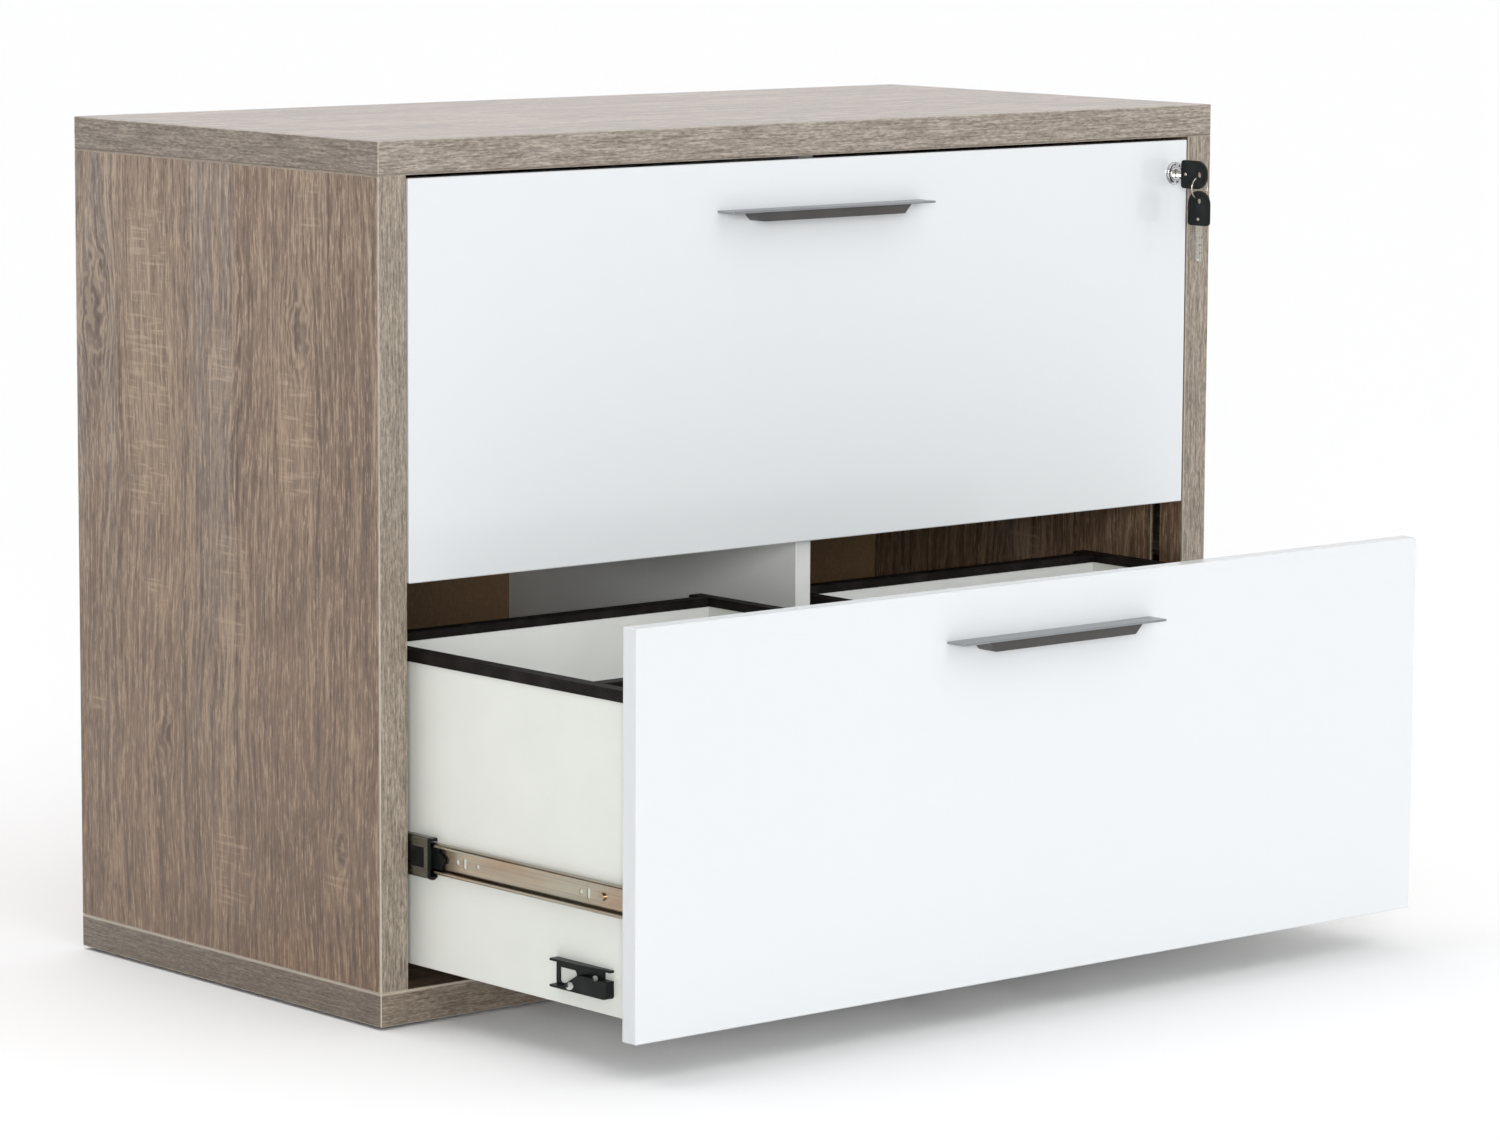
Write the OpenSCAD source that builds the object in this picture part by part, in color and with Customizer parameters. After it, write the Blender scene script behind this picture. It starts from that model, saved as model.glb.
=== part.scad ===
// Two-drawer filing unit: a laminate carcass with a centre divider, and two wide drawers.
// Each drawer carries two open filing boxes, one on each side of the divider.
// X runs along the front, Y runs to the back, Z is up, and z = 0 is the floor.
// x = 0 and y = 0 are the middle of the carcass. The lower drawer is drawn pulled out.

/* [Carcass] */
// Width of the carcass
body_w = 1000; // [900:1:1100]
// Depth of the carcass, front edge to back edge
body_d = 460; // [456:1:520]
// Height of the carcass above its glides
body_h = 768; // [760:1:820]
// Thickness of the top, the bottom and the two sides
panel_t = 30; // [27:1:32]
// Thickness of the centre divider
divider_t = 18; // [18:1:22]
// Gap between the fronts' back faces and the divider's front edge
divider_gap = 2; // [1:0.5:6]
// Thickness of the back panel
back_t = 6; // [4:1:8]
// Depth of the back panel behind the carcass's rear edges
back_inset = 8; // [4:1:9]
// Depth of the groove that holds the back panel
back_groove = 8; // [4:1:10]
// Chamfer along the edges of every board
edge_c = 0.8; // [0.4:0.1:1.2]

/* [Floor glides] */
// Diameter of a glide
glide_d = 24; // [16:1:34]
// Height of a glide under the carcass
glide_h = 3; // [2:0.5:6]
// Distance of a glide's middle from the carcass's edges
glide_in = 32; // [26:1:60]

/* [Fronts] */
// Thickness of a drawer front
front_t = 18; // [16:1:20]
// Gap at each side of a front
side_gap = 2; // [1.5:0.5:3]
// Gap above the upper front
top_gap = 3; // [2:0.5:5]
// Gap between the two fronts
mid_gap = 4; // [2:0.5:6]
// Gap below the lower front
bottom_gap = 3; // [2:0.5:5]

/* [Boxes] */
// Space between a box and the back panel
box_gap = 13; // [10:1:40]
// Space above a box's boards, up to the upper edge of the front
box_room = 58; // [50:1:80]
// Thickness of the packers between the divider and its slides
packer_t = 13.6; // [10:0.2:18]
// Thickness of a box's boards
board_t = 12; // [12:0.5:14]
// Rise of a box above the lower edge of its front
box_lift = 16; // [14:1:20]
// Inside distance between the front and back file rails
hang_l = 318; // [300:1:320]
// Length of the side boards behind the back wall's rail
tail_l = 14; // [10:1:20]
// Thickness of a box's bottom
bottom_t = 6; // [4:1:8]
// Height of the bottom above the lower edge of the boards
bottom_up = 10; // [6:1:14]
// Depth of the grooves that hold the bottom
bottom_groove = 6; // [4:0.5:7]

/* [File rails] */
// Wall thickness of a file rail
rail_wall = 1.5; // [1.2:0.1:2]
// Thickness of a file rail's top
rail_top = 2; // [1.5:0.1:3]
// Height of a file rail's outer leg
rail_out_h = 10; // [8:0.5:14]
// Height of a file rail's inner leg
rail_in_h = 8; // [6:0.5:12]

/* [Slides] */
// Thickness of a slide, wall to box
slide_t = 12.7; // [12.5:0.1:13]
// Step between the lengths that slides are sold in
slide_step = 50; // [40:10:50]
// How much shorter a middle rail is than a cabinet rail
middle_cut = 20; // [16:1:24]
// Distance of the cabinet rails behind the front plane
slide_set = 21; // [20:0.5:24]
// Height of a slide's middle above the lower edge of the box
slide_up = 100; // [80:1:140]
// Height of a cabinet rail
outer_h = 45.5; // [45.2:0.1:46]
// Height of a middle rail
middle_h = 36; // [35.6:0.1:36.4]
// Height of a drawer rail
inner_h = 27; // [26.6:0.1:27.4]
// Sheet thickness of the rails
steel_t = 1.2; // [1:0.1:1.2]
// Travel of the middle rail out of the cabinet rail
middle_travel = 143; // [100:1:160]
// Travel of the drawer rail out of the middle rail
drawer_travel = 257; // [200:1:260]

/* [Open position] */
// How far the lower middle rails are drawn out
lower_middle_out = 51; // [0:1:90]
// How far the lower drawer rails are drawn out of the middle rails
lower_drawer_out = 257; // [150:1:257]

/* [Handles] */
// Length of a handle's plate
handle_l = 244; // [180:1:320]
// Depth of a handle
handle_d = 22; // [18:0.5:30]
// Thickness of a handle's plate
handle_t = 2; // [1.6:0.1:3]
// Length of the grip at its top
grip_l = 184; // [140:1:240]
// Height of the grip under the plate
grip_h = 8; // [7:0.5:12]
// Wall thickness of the grip
grip_wall = 1.8; // [1.4:0.1:2.4]
// Distance of the plate below the upper edge of its front
handle_drop = 42.5; // [36:0.5:70]
// Distance between the two handle screws
handle_pitch = 128; // [96:32:160]

/* [Lock] */
// Diameter of the lock's face
lock_face_d = 22; // [21:0.5:26]
// Diameter of the lock's barrel
lock_barrel_d = 18; // [17:0.5:19]
// Diameter of the plug
plug_d = 12; // [11:0.5:13]
// Distance of the lock from the right edge of the front
lock_in = 17; // [16:0.5:19]
// Distance of the lock below the upper edge of the front
lock_drop = 31.5; // [29:0.5:36]
// Radius at which the cam's drive pin turns, which is also the bar's lift
cam_r = 8; // [6:0.5:9]

/* [Keys] */
// Length of a key's grip
key_grip_l = 33; // [30:1:38]
// Width of a key's grip
key_grip_w = 27; // [22:1:28]
// Thickness of a key's grip
key_grip_t = 3.6; // [3:0.2:5]
// Length of a key's blade
key_blade_l = 34; // [30:1:36]
// Outer radius of the wire ring
ring_r = 11; // [10.5:0.5:13]
// Thickness of the ring's wire
ring_wire = 1.4; // [1:0.1:1.6]

/* [Lock bars] */
// Width of a lock bar
bar_w = 12; // [10:0.5:14]
// Thickness of a lock bar
bar_t = 4; // [3:0.5:5]
// Distance of a bar's middle behind the front plane
bar_set = 38; // [37:0.5:38]
// Radius of a bar's pins
pin_r = 2.5; // [2:0.1:2.6]

/* [Catches] */
// Length of a catch
catch_l = 75; // [66:1:90]
// Height of a catch
catch_h = 24.5; // [23.5:0.5:28]
// Depth of a catch's flanges
catch_d = 9; // [8:0.5:10]
// Height of a catch above the lower edge of the box
catch_up = 15; // [12:0.5:20]

/* [Hidden] */
$fn = 48;

// Colours
wood = [0.63, 0.56, 0.49];
dark_board = [0.22, 0.17, 0.13];
gloss_white = [0.95, 0.95, 0.96];
box_white = [0.88, 0.88, 0.85];
zinc = [0.68, 0.69, 0.70];
black = [0.08, 0.08, 0.08];
brushed = [0.55, 0.55, 0.56];
chrome = [0.80, 0.81, 0.83];
raw_wood = [0.80, 0.68, 0.50];

// Clearances
fit = 0.1;
slip = 0.3;

// Carcass
front_y = -body_d / 2;
in_x = body_w / 2 - panel_t;
z_low = glide_h + panel_t;
z_high = glide_h + body_h - panel_t;
back_y = body_d / 2 - back_inset;
in_depth = body_d - back_inset - back_t;
divider_front = front_t + divider_gap;

// Fronts
front_h = (z_high - z_low - top_gap - mid_gap - bottom_gap) / 2;
front_w = 2 * (in_x - side_gap);
lower_z = z_low + bottom_gap;
upper_z = lower_z + front_h + mid_gap;
handle_z = front_h - handle_drop - handle_t;

// Boxes: x runs from box_out, next to the carcass side, to box_in, next to the divider
box_out = in_x - slide_t;
box_in = divider_t / 2 + packer_t + slide_t;
box_w = box_out - box_in;
box_h = front_h - box_lift - box_room;
side_l = in_depth - front_t - box_gap;
rail_t = board_t + 2 * rail_wall;
tail_d = front_t + side_l;
back_wall_d = tail_d - tail_l - rail_t / 2;
front_wall_d = back_wall_d - rail_t - hang_l;
bottom_z = bottom_up + bottom_t / 2;

// Slides: the longest that leave room behind them
slide_l = slide_step * floor((in_depth - slide_set - 5) / slide_step);
middle_l = slide_l - middle_cut;
middle_set = slide_set + 6;
drawer_set = front_t + 2;
rail_z = slide_up;
outer_d = 9.8;
middle_u = 2 * steel_t;
middle_d = 8.8;
inner_d = 7.5;
outer_lip = 4;
middle_lip = 3.4;
inner_lip = 3;
last_hole = slide_l - 64;
cabinet_holes = [16, 48, 176, last_hole];
cabinet_slots = [72, 216, last_hole - 40];
side_screw_v = [48, 176, last_hole];
divider_screw_v = [16, 176, last_hole];
last_group = slide_l - 60;
drawer_screw_v = [35, last_group];
middle_slots = [80, 200, middle_l - 60];
lever_v = 249;
lever_l = 18;
lever_h = 19;
lever_t = 2.6;
bumper_l = 3;
hook_l = 3.5;
hook_h = 2.2;
window_v = 5;
window_l = 19;
window_h = 18;
bridge_l = 4;
bridge_t = 1;

// Groups of holes in a drawer rail: a screw hole, then an upright slot, then a round hole
hole_groups = [[35, 54, 64], [205, 223, 233], [last_group, last_group + 14, last_group + 23]];

// Ball cages
cage_t = 0.6;
outer_ball_z = (outer_h / 2 - steel_t + middle_h / 2) / 2;
outer_ball_r = (outer_h / 2 - steel_t - middle_h / 2) / 2 - slip;
inner_ball_z = (middle_h / 2 - steel_t + inner_h / 2) / 2;
inner_ball_r = (middle_h / 2 - steel_t - inner_h / 2) / 2 - slip;
outer_cage_v = 84;
outer_cage_l = 150;
inner_cage_v = 10;
inner_cage_l = 100;
ball_count = 5;

// Screws and fittings
screw_r = 2;
screw_head_r = 3.6;
cam_d = 15;
carcass_cam_h = 12.5;
front_cam_h = 9.5;
cam_axis = 8;
cam_in = 24;
bolt_r = 3;
bolt_grip = 11;
stem_r = 4;
stem_l = 12;
side_screw_l = 14;
divider_screw_l = packer_t + 7;
rail_screw_l = 9;
dowel_r = 4;
dowel_l = 30;
fitting_d = [60, body_d - 70];
dowel_d = [92, body_d - 102];
front_cam_z = [40, box_h - 45];

// Lock
lock_x = in_x - side_gap - lock_in;
lock_z = upper_z + front_h - lock_drop;
face_t = 3;
barrel_back = front_t + 6;
cam_gap = 0.3;
cam_t = 2;
cam_pin_r = 2.5;
cam_pin_l = 13;
key_slot_w = 2.6;
key_slot_h = 8;
key_t = 2.2;
key_h = 7;
key_out = 8;
key_hole_r = 3;

key_in = key_blade_l - key_out;
key_hole_in = 9.5;
key_eye_y = -face_t - key_out - key_grip_l + key_hole_in;
ring_hang_z = -key_hole_r + ring_wire / 2 - (ring_r - ring_wire / 2) + slip;
spare_eye_z = ring_hang_z - (ring_r - ring_wire / 2) - key_hole_r + ring_wire / 2 + slip;
spare_z = spare_eye_z + key_hole_in - key_grip_l;

// Bars and catches
groove_w = bar_w + 1;
groove_d = bar_t + 2;
bar_low = 10;
catch_set = bar_set + pin_r + 1;
catch_web = 1.5;
catch_flange = 2;
catch_step = 15.4;
catch_corner = 3;
catch_notch = 11;
catch_neck = 4;
pin_up = (catch_step + catch_h - catch_flange) / 2;
pin_end = catch_web + 0.5;
tab_t = 2.5;
tab_z = lock_z + cam_pin_r + slip;
bar_top = tab_z + tab_t + 4;

// The place d behind the front plane
function deep(d) = front_y + d;

// A board with chamfered edges, from its lowest corner
module board(size, c = edge_c) {
    w = size[0];
    d = size[1];
    h = size[2];
    intersection() {
        linear_extrude(h) chamfered(w, d, c);
        translate([0, d, 0]) rotate([90, 0, 0]) linear_extrude(d) chamfered(w, h, c);
        rotate([90, 0, 90]) linear_extrude(w) chamfered(d, h, c);
    }
}

module chamfered(a, b, c) {
    polygon([[c, 0], [a - c, 0], [a, c], [a, b - c], [a - c, b], [c, b], [0, b - c], [0, c]]);
}

module rounded(a, b, r) {
    translate([r, 0]) square([a - 2 * r, b]);
    translate([0, r]) square([a, b - 2 * r]);
    for (x = [r, a - r], y = [r, b - r]) translate([x, y]) circle(r, $fn = 24);
}

// A pin or bore along Y, from y = 0 to y = l
module along_y(r, l) {
    rotate([-90, 0, 0]) cylinder(r = r, h = l);
}

// A pin or bore along X, from x = 0 to x = l
module along_x(r, l) {
    rotate([0, 90, 0]) cylinder(r = r, h = l);
}

// The two sides of the carcass, or of a box: its children and their mirror image
module both_sides() {
    children();
    mirror([1, 0, 0]) children();
}

// Carcass

module dowel_places() {
    for (x = [-in_x - panel_t / 2, 0, in_x + panel_t / 2], d = dowel_d, z = [z_low, z_high])
        translate([x, deep(d), z]) children();
}

// The bolts of the carcass, each with its panel above it
module bolt_places() {
    both_sides() for (d = fitting_d) {
        translate([in_x + cam_axis, deep(d), z_high]) children();
        translate([in_x + cam_axis, deep(d), z_low]) mirror([0, 0, 1]) children();
    }
}

module glide_places() {
    x = body_w / 2 - glide_in;
    y = body_d / 2 - glide_in;
    for (p = [[0, 0], [x, y], [x, -y], [-x, y], [-x, -y]]) translate([p[0], p[1], 0]) children();
}

// The groove round the inside that holds the back panel
module back_slot() {
    translate([-in_x - back_groove, back_y - back_t - fit / 2, z_low - back_groove])
        cube([2 * (in_x + back_groove), back_t + fit, z_high - z_low + 2 * back_groove]);
}

module dowel_bores() {
    dowel_places() cylinder(r = dowel_r + fit / 2, h = dowel_l + 1, center = true);
}

// Bores for a bolt: into the panel above, and down to the cam
module bolt_bores() {
    bolt_places() bolt_bore();
}

module bolt_bore() {
    translate([0, 0, -cam_in]) cylinder(r = bolt_r + fit / 2, h = cam_in + bolt_grip + fit);
}

module top_panel() {
    color(wood) difference() {
        translate([-body_w / 2, front_y, z_high]) board([body_w, body_d, panel_t]);
        dowel_bores();
        bolt_bores();
        back_slot();
    }
}

module bottom_panel() {
    color(wood) difference() {
        translate([-body_w / 2, front_y, glide_h]) board([body_w, body_d, panel_t]);
        dowel_bores();
        bolt_bores();
        back_slot();
        glide_places() translate([0, 0, glide_h - 1]) cylinder(r = stem_r + fit / 2, h = stem_l + 1.5);
    }
}

module right_side() {
    difference() {
        translate([in_x, front_y, z_low]) board([panel_t, body_d, z_high - z_low]);
        dowel_bores();
        bolt_bores();
        back_slot();
        bolt_places() translate([-cam_axis, 0, -cam_in]) along_x(cam_d / 2, carcass_cam_h + fit);
        translate([in_x - 1, deep(bar_set) - groove_w / 2, z_low - 1])
            cube([groove_d + 1, groove_w, z_high - z_low + 2]);
        for (z = [lower_z, upper_z]) side_rail_place(z) cabinet_screw_bores(side_screw_l, side_screw_v);
    }
}

module right_side_panel() {
    color(wood) right_side();
}

module left_side_panel() {
    color(wood) mirror([1, 0, 0]) right_side();
}

module centre_divider() {
    color(gloss_white) difference() {
        translate([-divider_t / 2, deep(divider_front), z_low])
            board([divider_t, in_depth - divider_front, z_high - z_low]);
        dowel_bores();
        for (z = [lower_z, upper_z]) both_sides() divider_rail_place(z)
            cabinet_screw_bores(divider_screw_l, divider_screw_v);
    }
}

module back_panel() {
    reach = back_groove - slip;
    color(dark_board) translate([-in_x - reach, back_y - back_t, z_low - reach])
        cube([2 * (in_x + reach), back_t, z_high - z_low + 2 * reach]);
}

module floor_glides() {
    color(black) glide_places() {
        cylinder(r1 = glide_d / 2 - 1, r2 = glide_d / 2, h = 1);
        translate([0, 0, 1]) cylinder(r = glide_d / 2, h = glide_h - 1);
        translate([0, 0, 1]) cylinder(r = stem_r, h = glide_h - 1 + stem_l);
    }
}

module carcass_dowels() {
    color(raw_wood) dowel_places() cylinder(r = dowel_r, h = dowel_l, center = true);
}

// A cam disc with the pocket that takes the bolt's head; its axis lies along X
module cam_disc(h, axis) {
    difference() {
        along_x(cam_d / 2 - fit / 2, h);
        translate([-0.5, 0, 0]) rotate([0, 90, 0]) cross_slot();
        translate([axis, 0, 0]) cylinder(r = bolt_r - 0.6, h = cam_d);
        translate([axis, 0, -3]) cylinder(r = bolt_r + 0.4, h = 5);
    }
}

module cross_slot() {
    translate([-4, -0.7, 0]) cube([8, 1.4, 2]);
    translate([-0.7, -4, 0]) cube([1.4, 8, 2]);
}

// A cam bolt: its thread stands in the panel above z = 0, its head lies in the cam below
module cam_bolt(axis_l) {
    cylinder(r = bolt_r, h = bolt_grip);
    translate([0, 0, -axis_l + cam_d / 2 + 0.5]) cylinder(r = bolt_r - 0.2, h = axis_l - cam_d / 2 - 0.5);
    translate([0, 0, -axis_l]) cylinder(r = bolt_r - 1.2, h = cam_d / 2 + 0.5);
    translate([0, 0, -axis_l - 2]) cylinder(r = bolt_r - 0.2, h = 3);
}

module cam_fittings() {
    color(zinc) bolt_places() {
        cam_bolt(cam_in);
        translate([-cam_axis, 0, -cam_in]) cam_disc(carcass_cam_h, cam_axis);
    }
}

// Slides. A slide is drawn with its wall at u = 0 and its box at u = slide_t, from v = 0 backwards.

// Where a slide's cabinet rail sits on the right side of the carcass, and on the divider's right face
module side_rail_place(z, d = slide_set) {
    translate([in_x, deep(d), z + box_lift + slide_up]) mirror([1, 0, 0]) children();
}

module divider_rail_place(z, d = slide_set) {
    translate([divider_t / 2 + packer_t, deep(d), z + box_lift + slide_up]) children();
}

// The two slides of the right box
module right_slides(z, d = slide_set) {
    side_rail_place(z, d) children();
    divider_rail_place(z, d) children();
}

// A channel profile with its web along the left and lips at its mouth
module channel(h, depth, lip, r) {
    difference() {
        translate([0, -h / 2]) rounded(depth, h, r);
        translate([steel_t, -h / 2 + steel_t]) rounded(depth - 2 * steel_t, h - 2 * steel_t, r - steel_t / 2);
        translate([depth - steel_t - 0.5, -h / 2 + lip]) square([steel_t + 1, h - 2 * lip]);
    }
}

// A profile in u and w drawn out along v
module drawn(l) {
    translate([0, l, 0]) rotate([90, 0, 0]) linear_extrude(l) children();
}

module cabinet_rail() {
    difference() {
        drawn(slide_l) channel(outer_h, outer_d, outer_lip, 1.8);
        for (v = cabinet_holes) translate([-fit, v, 0]) along_x(screw_r + fit, steel_t + 1);
        for (v = cabinet_holes)
            translate([0, v, 0]) rotate([0, 90, 0]) cylinder(r1 = screw_r + fit, r2 = screw_head_r + fit, h = steel_t);
        for (v = cabinet_slots) translate([-1, v, 0]) slot_along_y();
    }
}

module slot_along_y() {
    for (v = [0, 8]) translate([0, v, 0]) along_x(2.2, steel_t + 2);
    translate([0, 0, -2.2]) cube([steel_t + 2, 8, 4.4]);
}

module middle_rail() {
    difference() {
        translate([middle_u, 0, 0]) drawn(middle_l) channel(middle_h, middle_d, middle_lip, 1.8);
        translate([middle_u - 1, window_v, -window_h / 2]) cube([steel_t + 2, window_l, window_h]);
        for (v = middle_slots) translate([middle_u - 1, v, 0]) slot_along_y();
    }
}

// A black bumper: a cap in front of the middle rail with two hooks. A bridge behind the web
// joins the cap to a ribbed tongue that fills the web's window.
module bumper() {
    difference() {
        translate([middle_u, -bumper_l, 0]) drawn(bumper_l) channel(middle_h, middle_d, middle_lip, 1.8);
        translate([middle_u + steel_t, -bumper_l - 1, -middle_h / 2 + middle_lip])
            cube([middle_d, bumper_l + 2, middle_h - 2 * middle_lip]);
    }
    translate([middle_u, -bumper_l, -middle_h / 2 + 1]) cube([steel_t, bumper_l, middle_h - 2]);
    for (side = [-1, 1])
        translate([middle_u, -bumper_l - hook_l, side * (middle_h - hook_h) / 2 - hook_h / 2])
            cube([4, hook_l + 0.5, hook_h]);
    tongue_h = window_h - 2 * fit;
    translate([middle_u + steel_t, -bumper_l, -tongue_h / 2])
        cube([bridge_t, bumper_l + window_v + bridge_l, tongue_h]);
    translate([middle_u, window_v + fit, -tongue_h / 2]) cube([steel_t, window_l - 2 * fit, tongue_h]);
    for (k = [1:3]) translate([middle_u - 0.2, window_v + k * window_l / 4 - 0.8, 2 - window_h / 2])
        cube([0.4, 1.6, window_h - 4]);
}

// A ball cage: a thin bridge with a strip of balls above and below
module ball_cage(u, ball_u, z, l, ball_r, reach) {
    translate([u, 0, -z - cage_t / 2]) cube([cage_t, l, 2 * z + cage_t]);
    for (side = [-1, 1]) {
        translate([u, 0, side * z - cage_t / 2]) cube([reach, l, cage_t]);
        for (k = [0:ball_count - 1])
            translate([ball_u, l * (k + 0.5) / ball_count, side * z]) sphere(r = ball_r, $fn = 24);
    }
}

module outer_cage() {
    ball_cage(steel_t + slip, 5.2, outer_ball_z, outer_cage_l, outer_ball_r, 6.6);
}

module inner_cage() {
    ball_cage(middle_u + steel_t + slip, 7.6, inner_ball_z, inner_cage_l, inner_ball_r, 5.7);
}

module drawer_rail() {
    difference() {
        translate([slide_t, 0, 0]) mirror([1, 0, 0]) drawn(slide_l) channel(inner_h, inner_d, inner_lip, 1.8);
        for (v = hole_groups) translate([slide_t - steel_t - 1, 0, 0]) {
            translate([0, v[0], 0]) along_x(screw_r + 0.3, steel_t + 2);
            translate([0, v[1], 0]) upright_slot();
            translate([0, v[2], 0]) along_x(2.5, steel_t + 2);
        }
    }
}

module upright_slot() {
    for (z = [-3, 3]) translate([0, 0, z]) along_x(2.2, steel_t + 2);
    translate([0, -2.2, -3]) cube([steel_t + 2, 4.4, 6]);
}

// A release lever: a plate with a round tip that is riveted into the drawer rail's channel
module release_lever() {
    u = slide_t - steel_t - 0.7 - lever_t;
    tip = lever_h / 5;
    translate([u, lever_v, 0]) rotate([90, 0, 90]) linear_extrude(lever_t) difference() {
        union() {
            translate([tip, -lever_h / 2]) square([lever_l - tip, lever_h]);
            translate([tip, -1]) circle(r = tip);
        }
        translate([tip + 1, lever_h / 2 - 1]) circle(r = tip);
        translate([tip + 2.6, 3 - lever_h / 2]) circle(r = 1.5);
        translate([lever_l - 3, 4]) circle(r = 1.1);
    }
    translate([u, lever_v + 0.6 * lever_l, 0]) along_x(2.6, lever_t + 0.7);
}

module cabinet_screw(l, places) {
    for (v = places) translate([0, v, 0]) {
        translate([-l, 0, 0]) along_x(screw_r, l + steel_t / 2);
        rotate([0, 90, 0]) translate([0, 0, 0.1]) cylinder(r1 = screw_r, r2 = screw_head_r - 0.2, h = steel_t - 0.2);
    }
}

module cabinet_screw_bores(l, places) {
    for (v = places) translate([-l - 0.5, v, 0]) along_x(screw_r + fit / 2, l + 1);
}

module drawer_rail_screws() {
    for (v = drawer_screw_v) translate([slide_t - steel_t, v, 0]) {
        translate([-2, 0, 0]) along_x(3.4, 2);
        along_x(screw_r, steel_t + rail_screw_l);
    }
}

module drawer_rail_screw_bores() {
    for (v = drawer_screw_v) translate([slide_t - 0.5, v, 0]) along_x(screw_r + fit / 2, rail_screw_l + 1);
}

module divider_packers() {
    color(raw_wood) for (z = [lower_z, upper_z]) both_sides() divider_rail_place(z) difference() {
        translate([-packer_t, 0, -outer_h / 2]) cube([packer_t, slide_l, outer_h]);
        cabinet_screw_bores(divider_screw_l, divider_screw_v);
    }
}

module cabinet_rail_screws() {
    color(zinc) for (z = [lower_z, upper_z]) both_sides() {
        side_rail_place(z) cabinet_screw(side_screw_l, side_screw_v);
        divider_rail_place(z) cabinet_screw(divider_screw_l, divider_screw_v);
    }
}

module upper_right_cabinet_rails() {
    color(zinc) right_slides(upper_z) cabinet_rail();
}

module upper_left_cabinet_rails() {
    mirror([1, 0, 0]) upper_right_cabinet_rails();
}

module lower_right_cabinet_rails() {
    color(zinc) right_slides(lower_z) cabinet_rail();
}

module lower_left_cabinet_rails() {
    mirror([1, 0, 0]) lower_right_cabinet_rails();
}

// Draws its children at the middle rails of the lower drawer, and at its drawer rails
module lower_middle() {
    translate([0, -lower_middle_out, 0]) children();
}

module lower_drawer() {
    translate([0, -lower_middle_out - lower_drawer_out, 0]) children();
}

module upper_right_middle_rails() {
    color(zinc) right_slides(upper_z, middle_set) middle_rail();
}

module upper_left_middle_rails() {
    mirror([1, 0, 0]) upper_right_middle_rails();
}

module lower_right_middle_rails() {
    color(zinc) lower_middle() right_slides(lower_z, middle_set) middle_rail();
}

module lower_left_middle_rails() {
    mirror([1, 0, 0]) lower_right_middle_rails();
}

module upper_rail_bumpers() {
    color(black) both_sides() right_slides(upper_z, middle_set) bumper();
}

module lower_rail_bumpers() {
    color(black) lower_middle() both_sides() right_slides(lower_z, middle_set) bumper();
}

module upper_outer_ball_cages() {
    color(zinc) both_sides() right_slides(upper_z, slide_set + outer_cage_v) outer_cage();
}

module lower_outer_ball_cages() {
    color(zinc) both_sides()
        right_slides(lower_z, slide_set + outer_cage_v - lower_middle_out / 2) outer_cage();
}

module upper_inner_ball_cages() {
    d = middle_set + inner_cage_v + drawer_travel / 2;
    color(zinc) both_sides() right_slides(upper_z, d) inner_cage();
}

module lower_inner_ball_cages() {
    d = middle_set + inner_cage_v + (drawer_travel - lower_drawer_out) / 2;
    color(zinc) lower_middle() both_sides() right_slides(lower_z, d) inner_cage();
}

module upper_right_drawer_rails() {
    color(zinc) right_slides(upper_z, drawer_set) drawer_rail();
}

module upper_left_drawer_rails() {
    mirror([1, 0, 0]) upper_right_drawer_rails();
}

module lower_right_drawer_rails() {
    color(zinc) lower_drawer() right_slides(lower_z, drawer_set) drawer_rail();
}

module lower_left_drawer_rails() {
    mirror([1, 0, 0]) lower_right_drawer_rails();
}

module upper_release_levers() {
    color(black) both_sides() right_slides(upper_z, drawer_set) release_lever();
}

module lower_release_levers() {
    color(black) lower_drawer() both_sides() right_slides(lower_z, drawer_set) release_lever();
}

// Fronts and handles

module drawer_front(z) {
    difference() {
        translate([-front_w / 2, front_y, z]) board([front_w, front_t, front_h]);
        handle_screw_places(z) translate([0, 0.5, 0]) along_y(screw_r + fit, front_t);
        handle_screw_places(z) translate([0, -0.5, 0]) along_y(screw_r + fit, front_t);
        front_bolt_places(z) bolt_bore();
    }
}

module handle_screw_places(z) {
    for (x = [-handle_pitch / 2, handle_pitch / 2]) translate([x, front_y, z + handle_z - grip_h / 2])
        children();
}

module upper_front() {
    color(gloss_white) difference() {
        drawer_front(upper_z);
        translate([lock_x, front_y - 1, lock_z]) along_y(lock_barrel_d / 2 + fit / 2, front_t + 2);
    }
}

module lower_front() {
    color(gloss_white) lower_drawer() drawer_front(lower_z);
}

module grip_outline(inset) {
    top = grip_l / 2 - inset;
    foot = top - grip_h;
    polygon([[-foot, -grip_h], [foot, -grip_h], [top, 0], [-top, 0]]);
}

// An edge handle: a long thin plate, and below it a hollow grip that is open underneath
module handle(z) {
    translate([0, front_y, z + handle_z]) {
        translate([-handle_l / 2, -handle_d, 0]) board([handle_l, handle_d, handle_t], 0.3);
        difference() {
            union() {
                difference() {
                    rotate([90, 0, 0]) linear_extrude(handle_d) grip_outline(0);
                    translate([0, -grip_wall, -1]) rotate([90, 0, 0])
                        linear_extrude(handle_d - 2 * grip_wall) grip_cavity();
                }
                for (x = [-handle_pitch / 2, handle_pitch / 2]) translate([x, -handle_d / 2, -grip_h / 2])
                    along_y(grip_h / 2 - 0.2, handle_d / 2);
            }
            for (x = [-handle_pitch / 2, handle_pitch / 2]) translate([x, -handle_d / 2 + 2, -grip_h / 2])
                along_y(screw_r + fit / 2, handle_d / 2 - 1);
        }
    }
}

module grip_cavity() {
    translate([0, 1]) {
        top = grip_l / 2 - 2 * grip_wall;
        foot = top - grip_h;
        polygon([[-foot - 0.6, -grip_h - 1], [foot + 0.6, -grip_h - 1], [top, -0.2], [-top, -0.2]]);
    }
}

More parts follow.
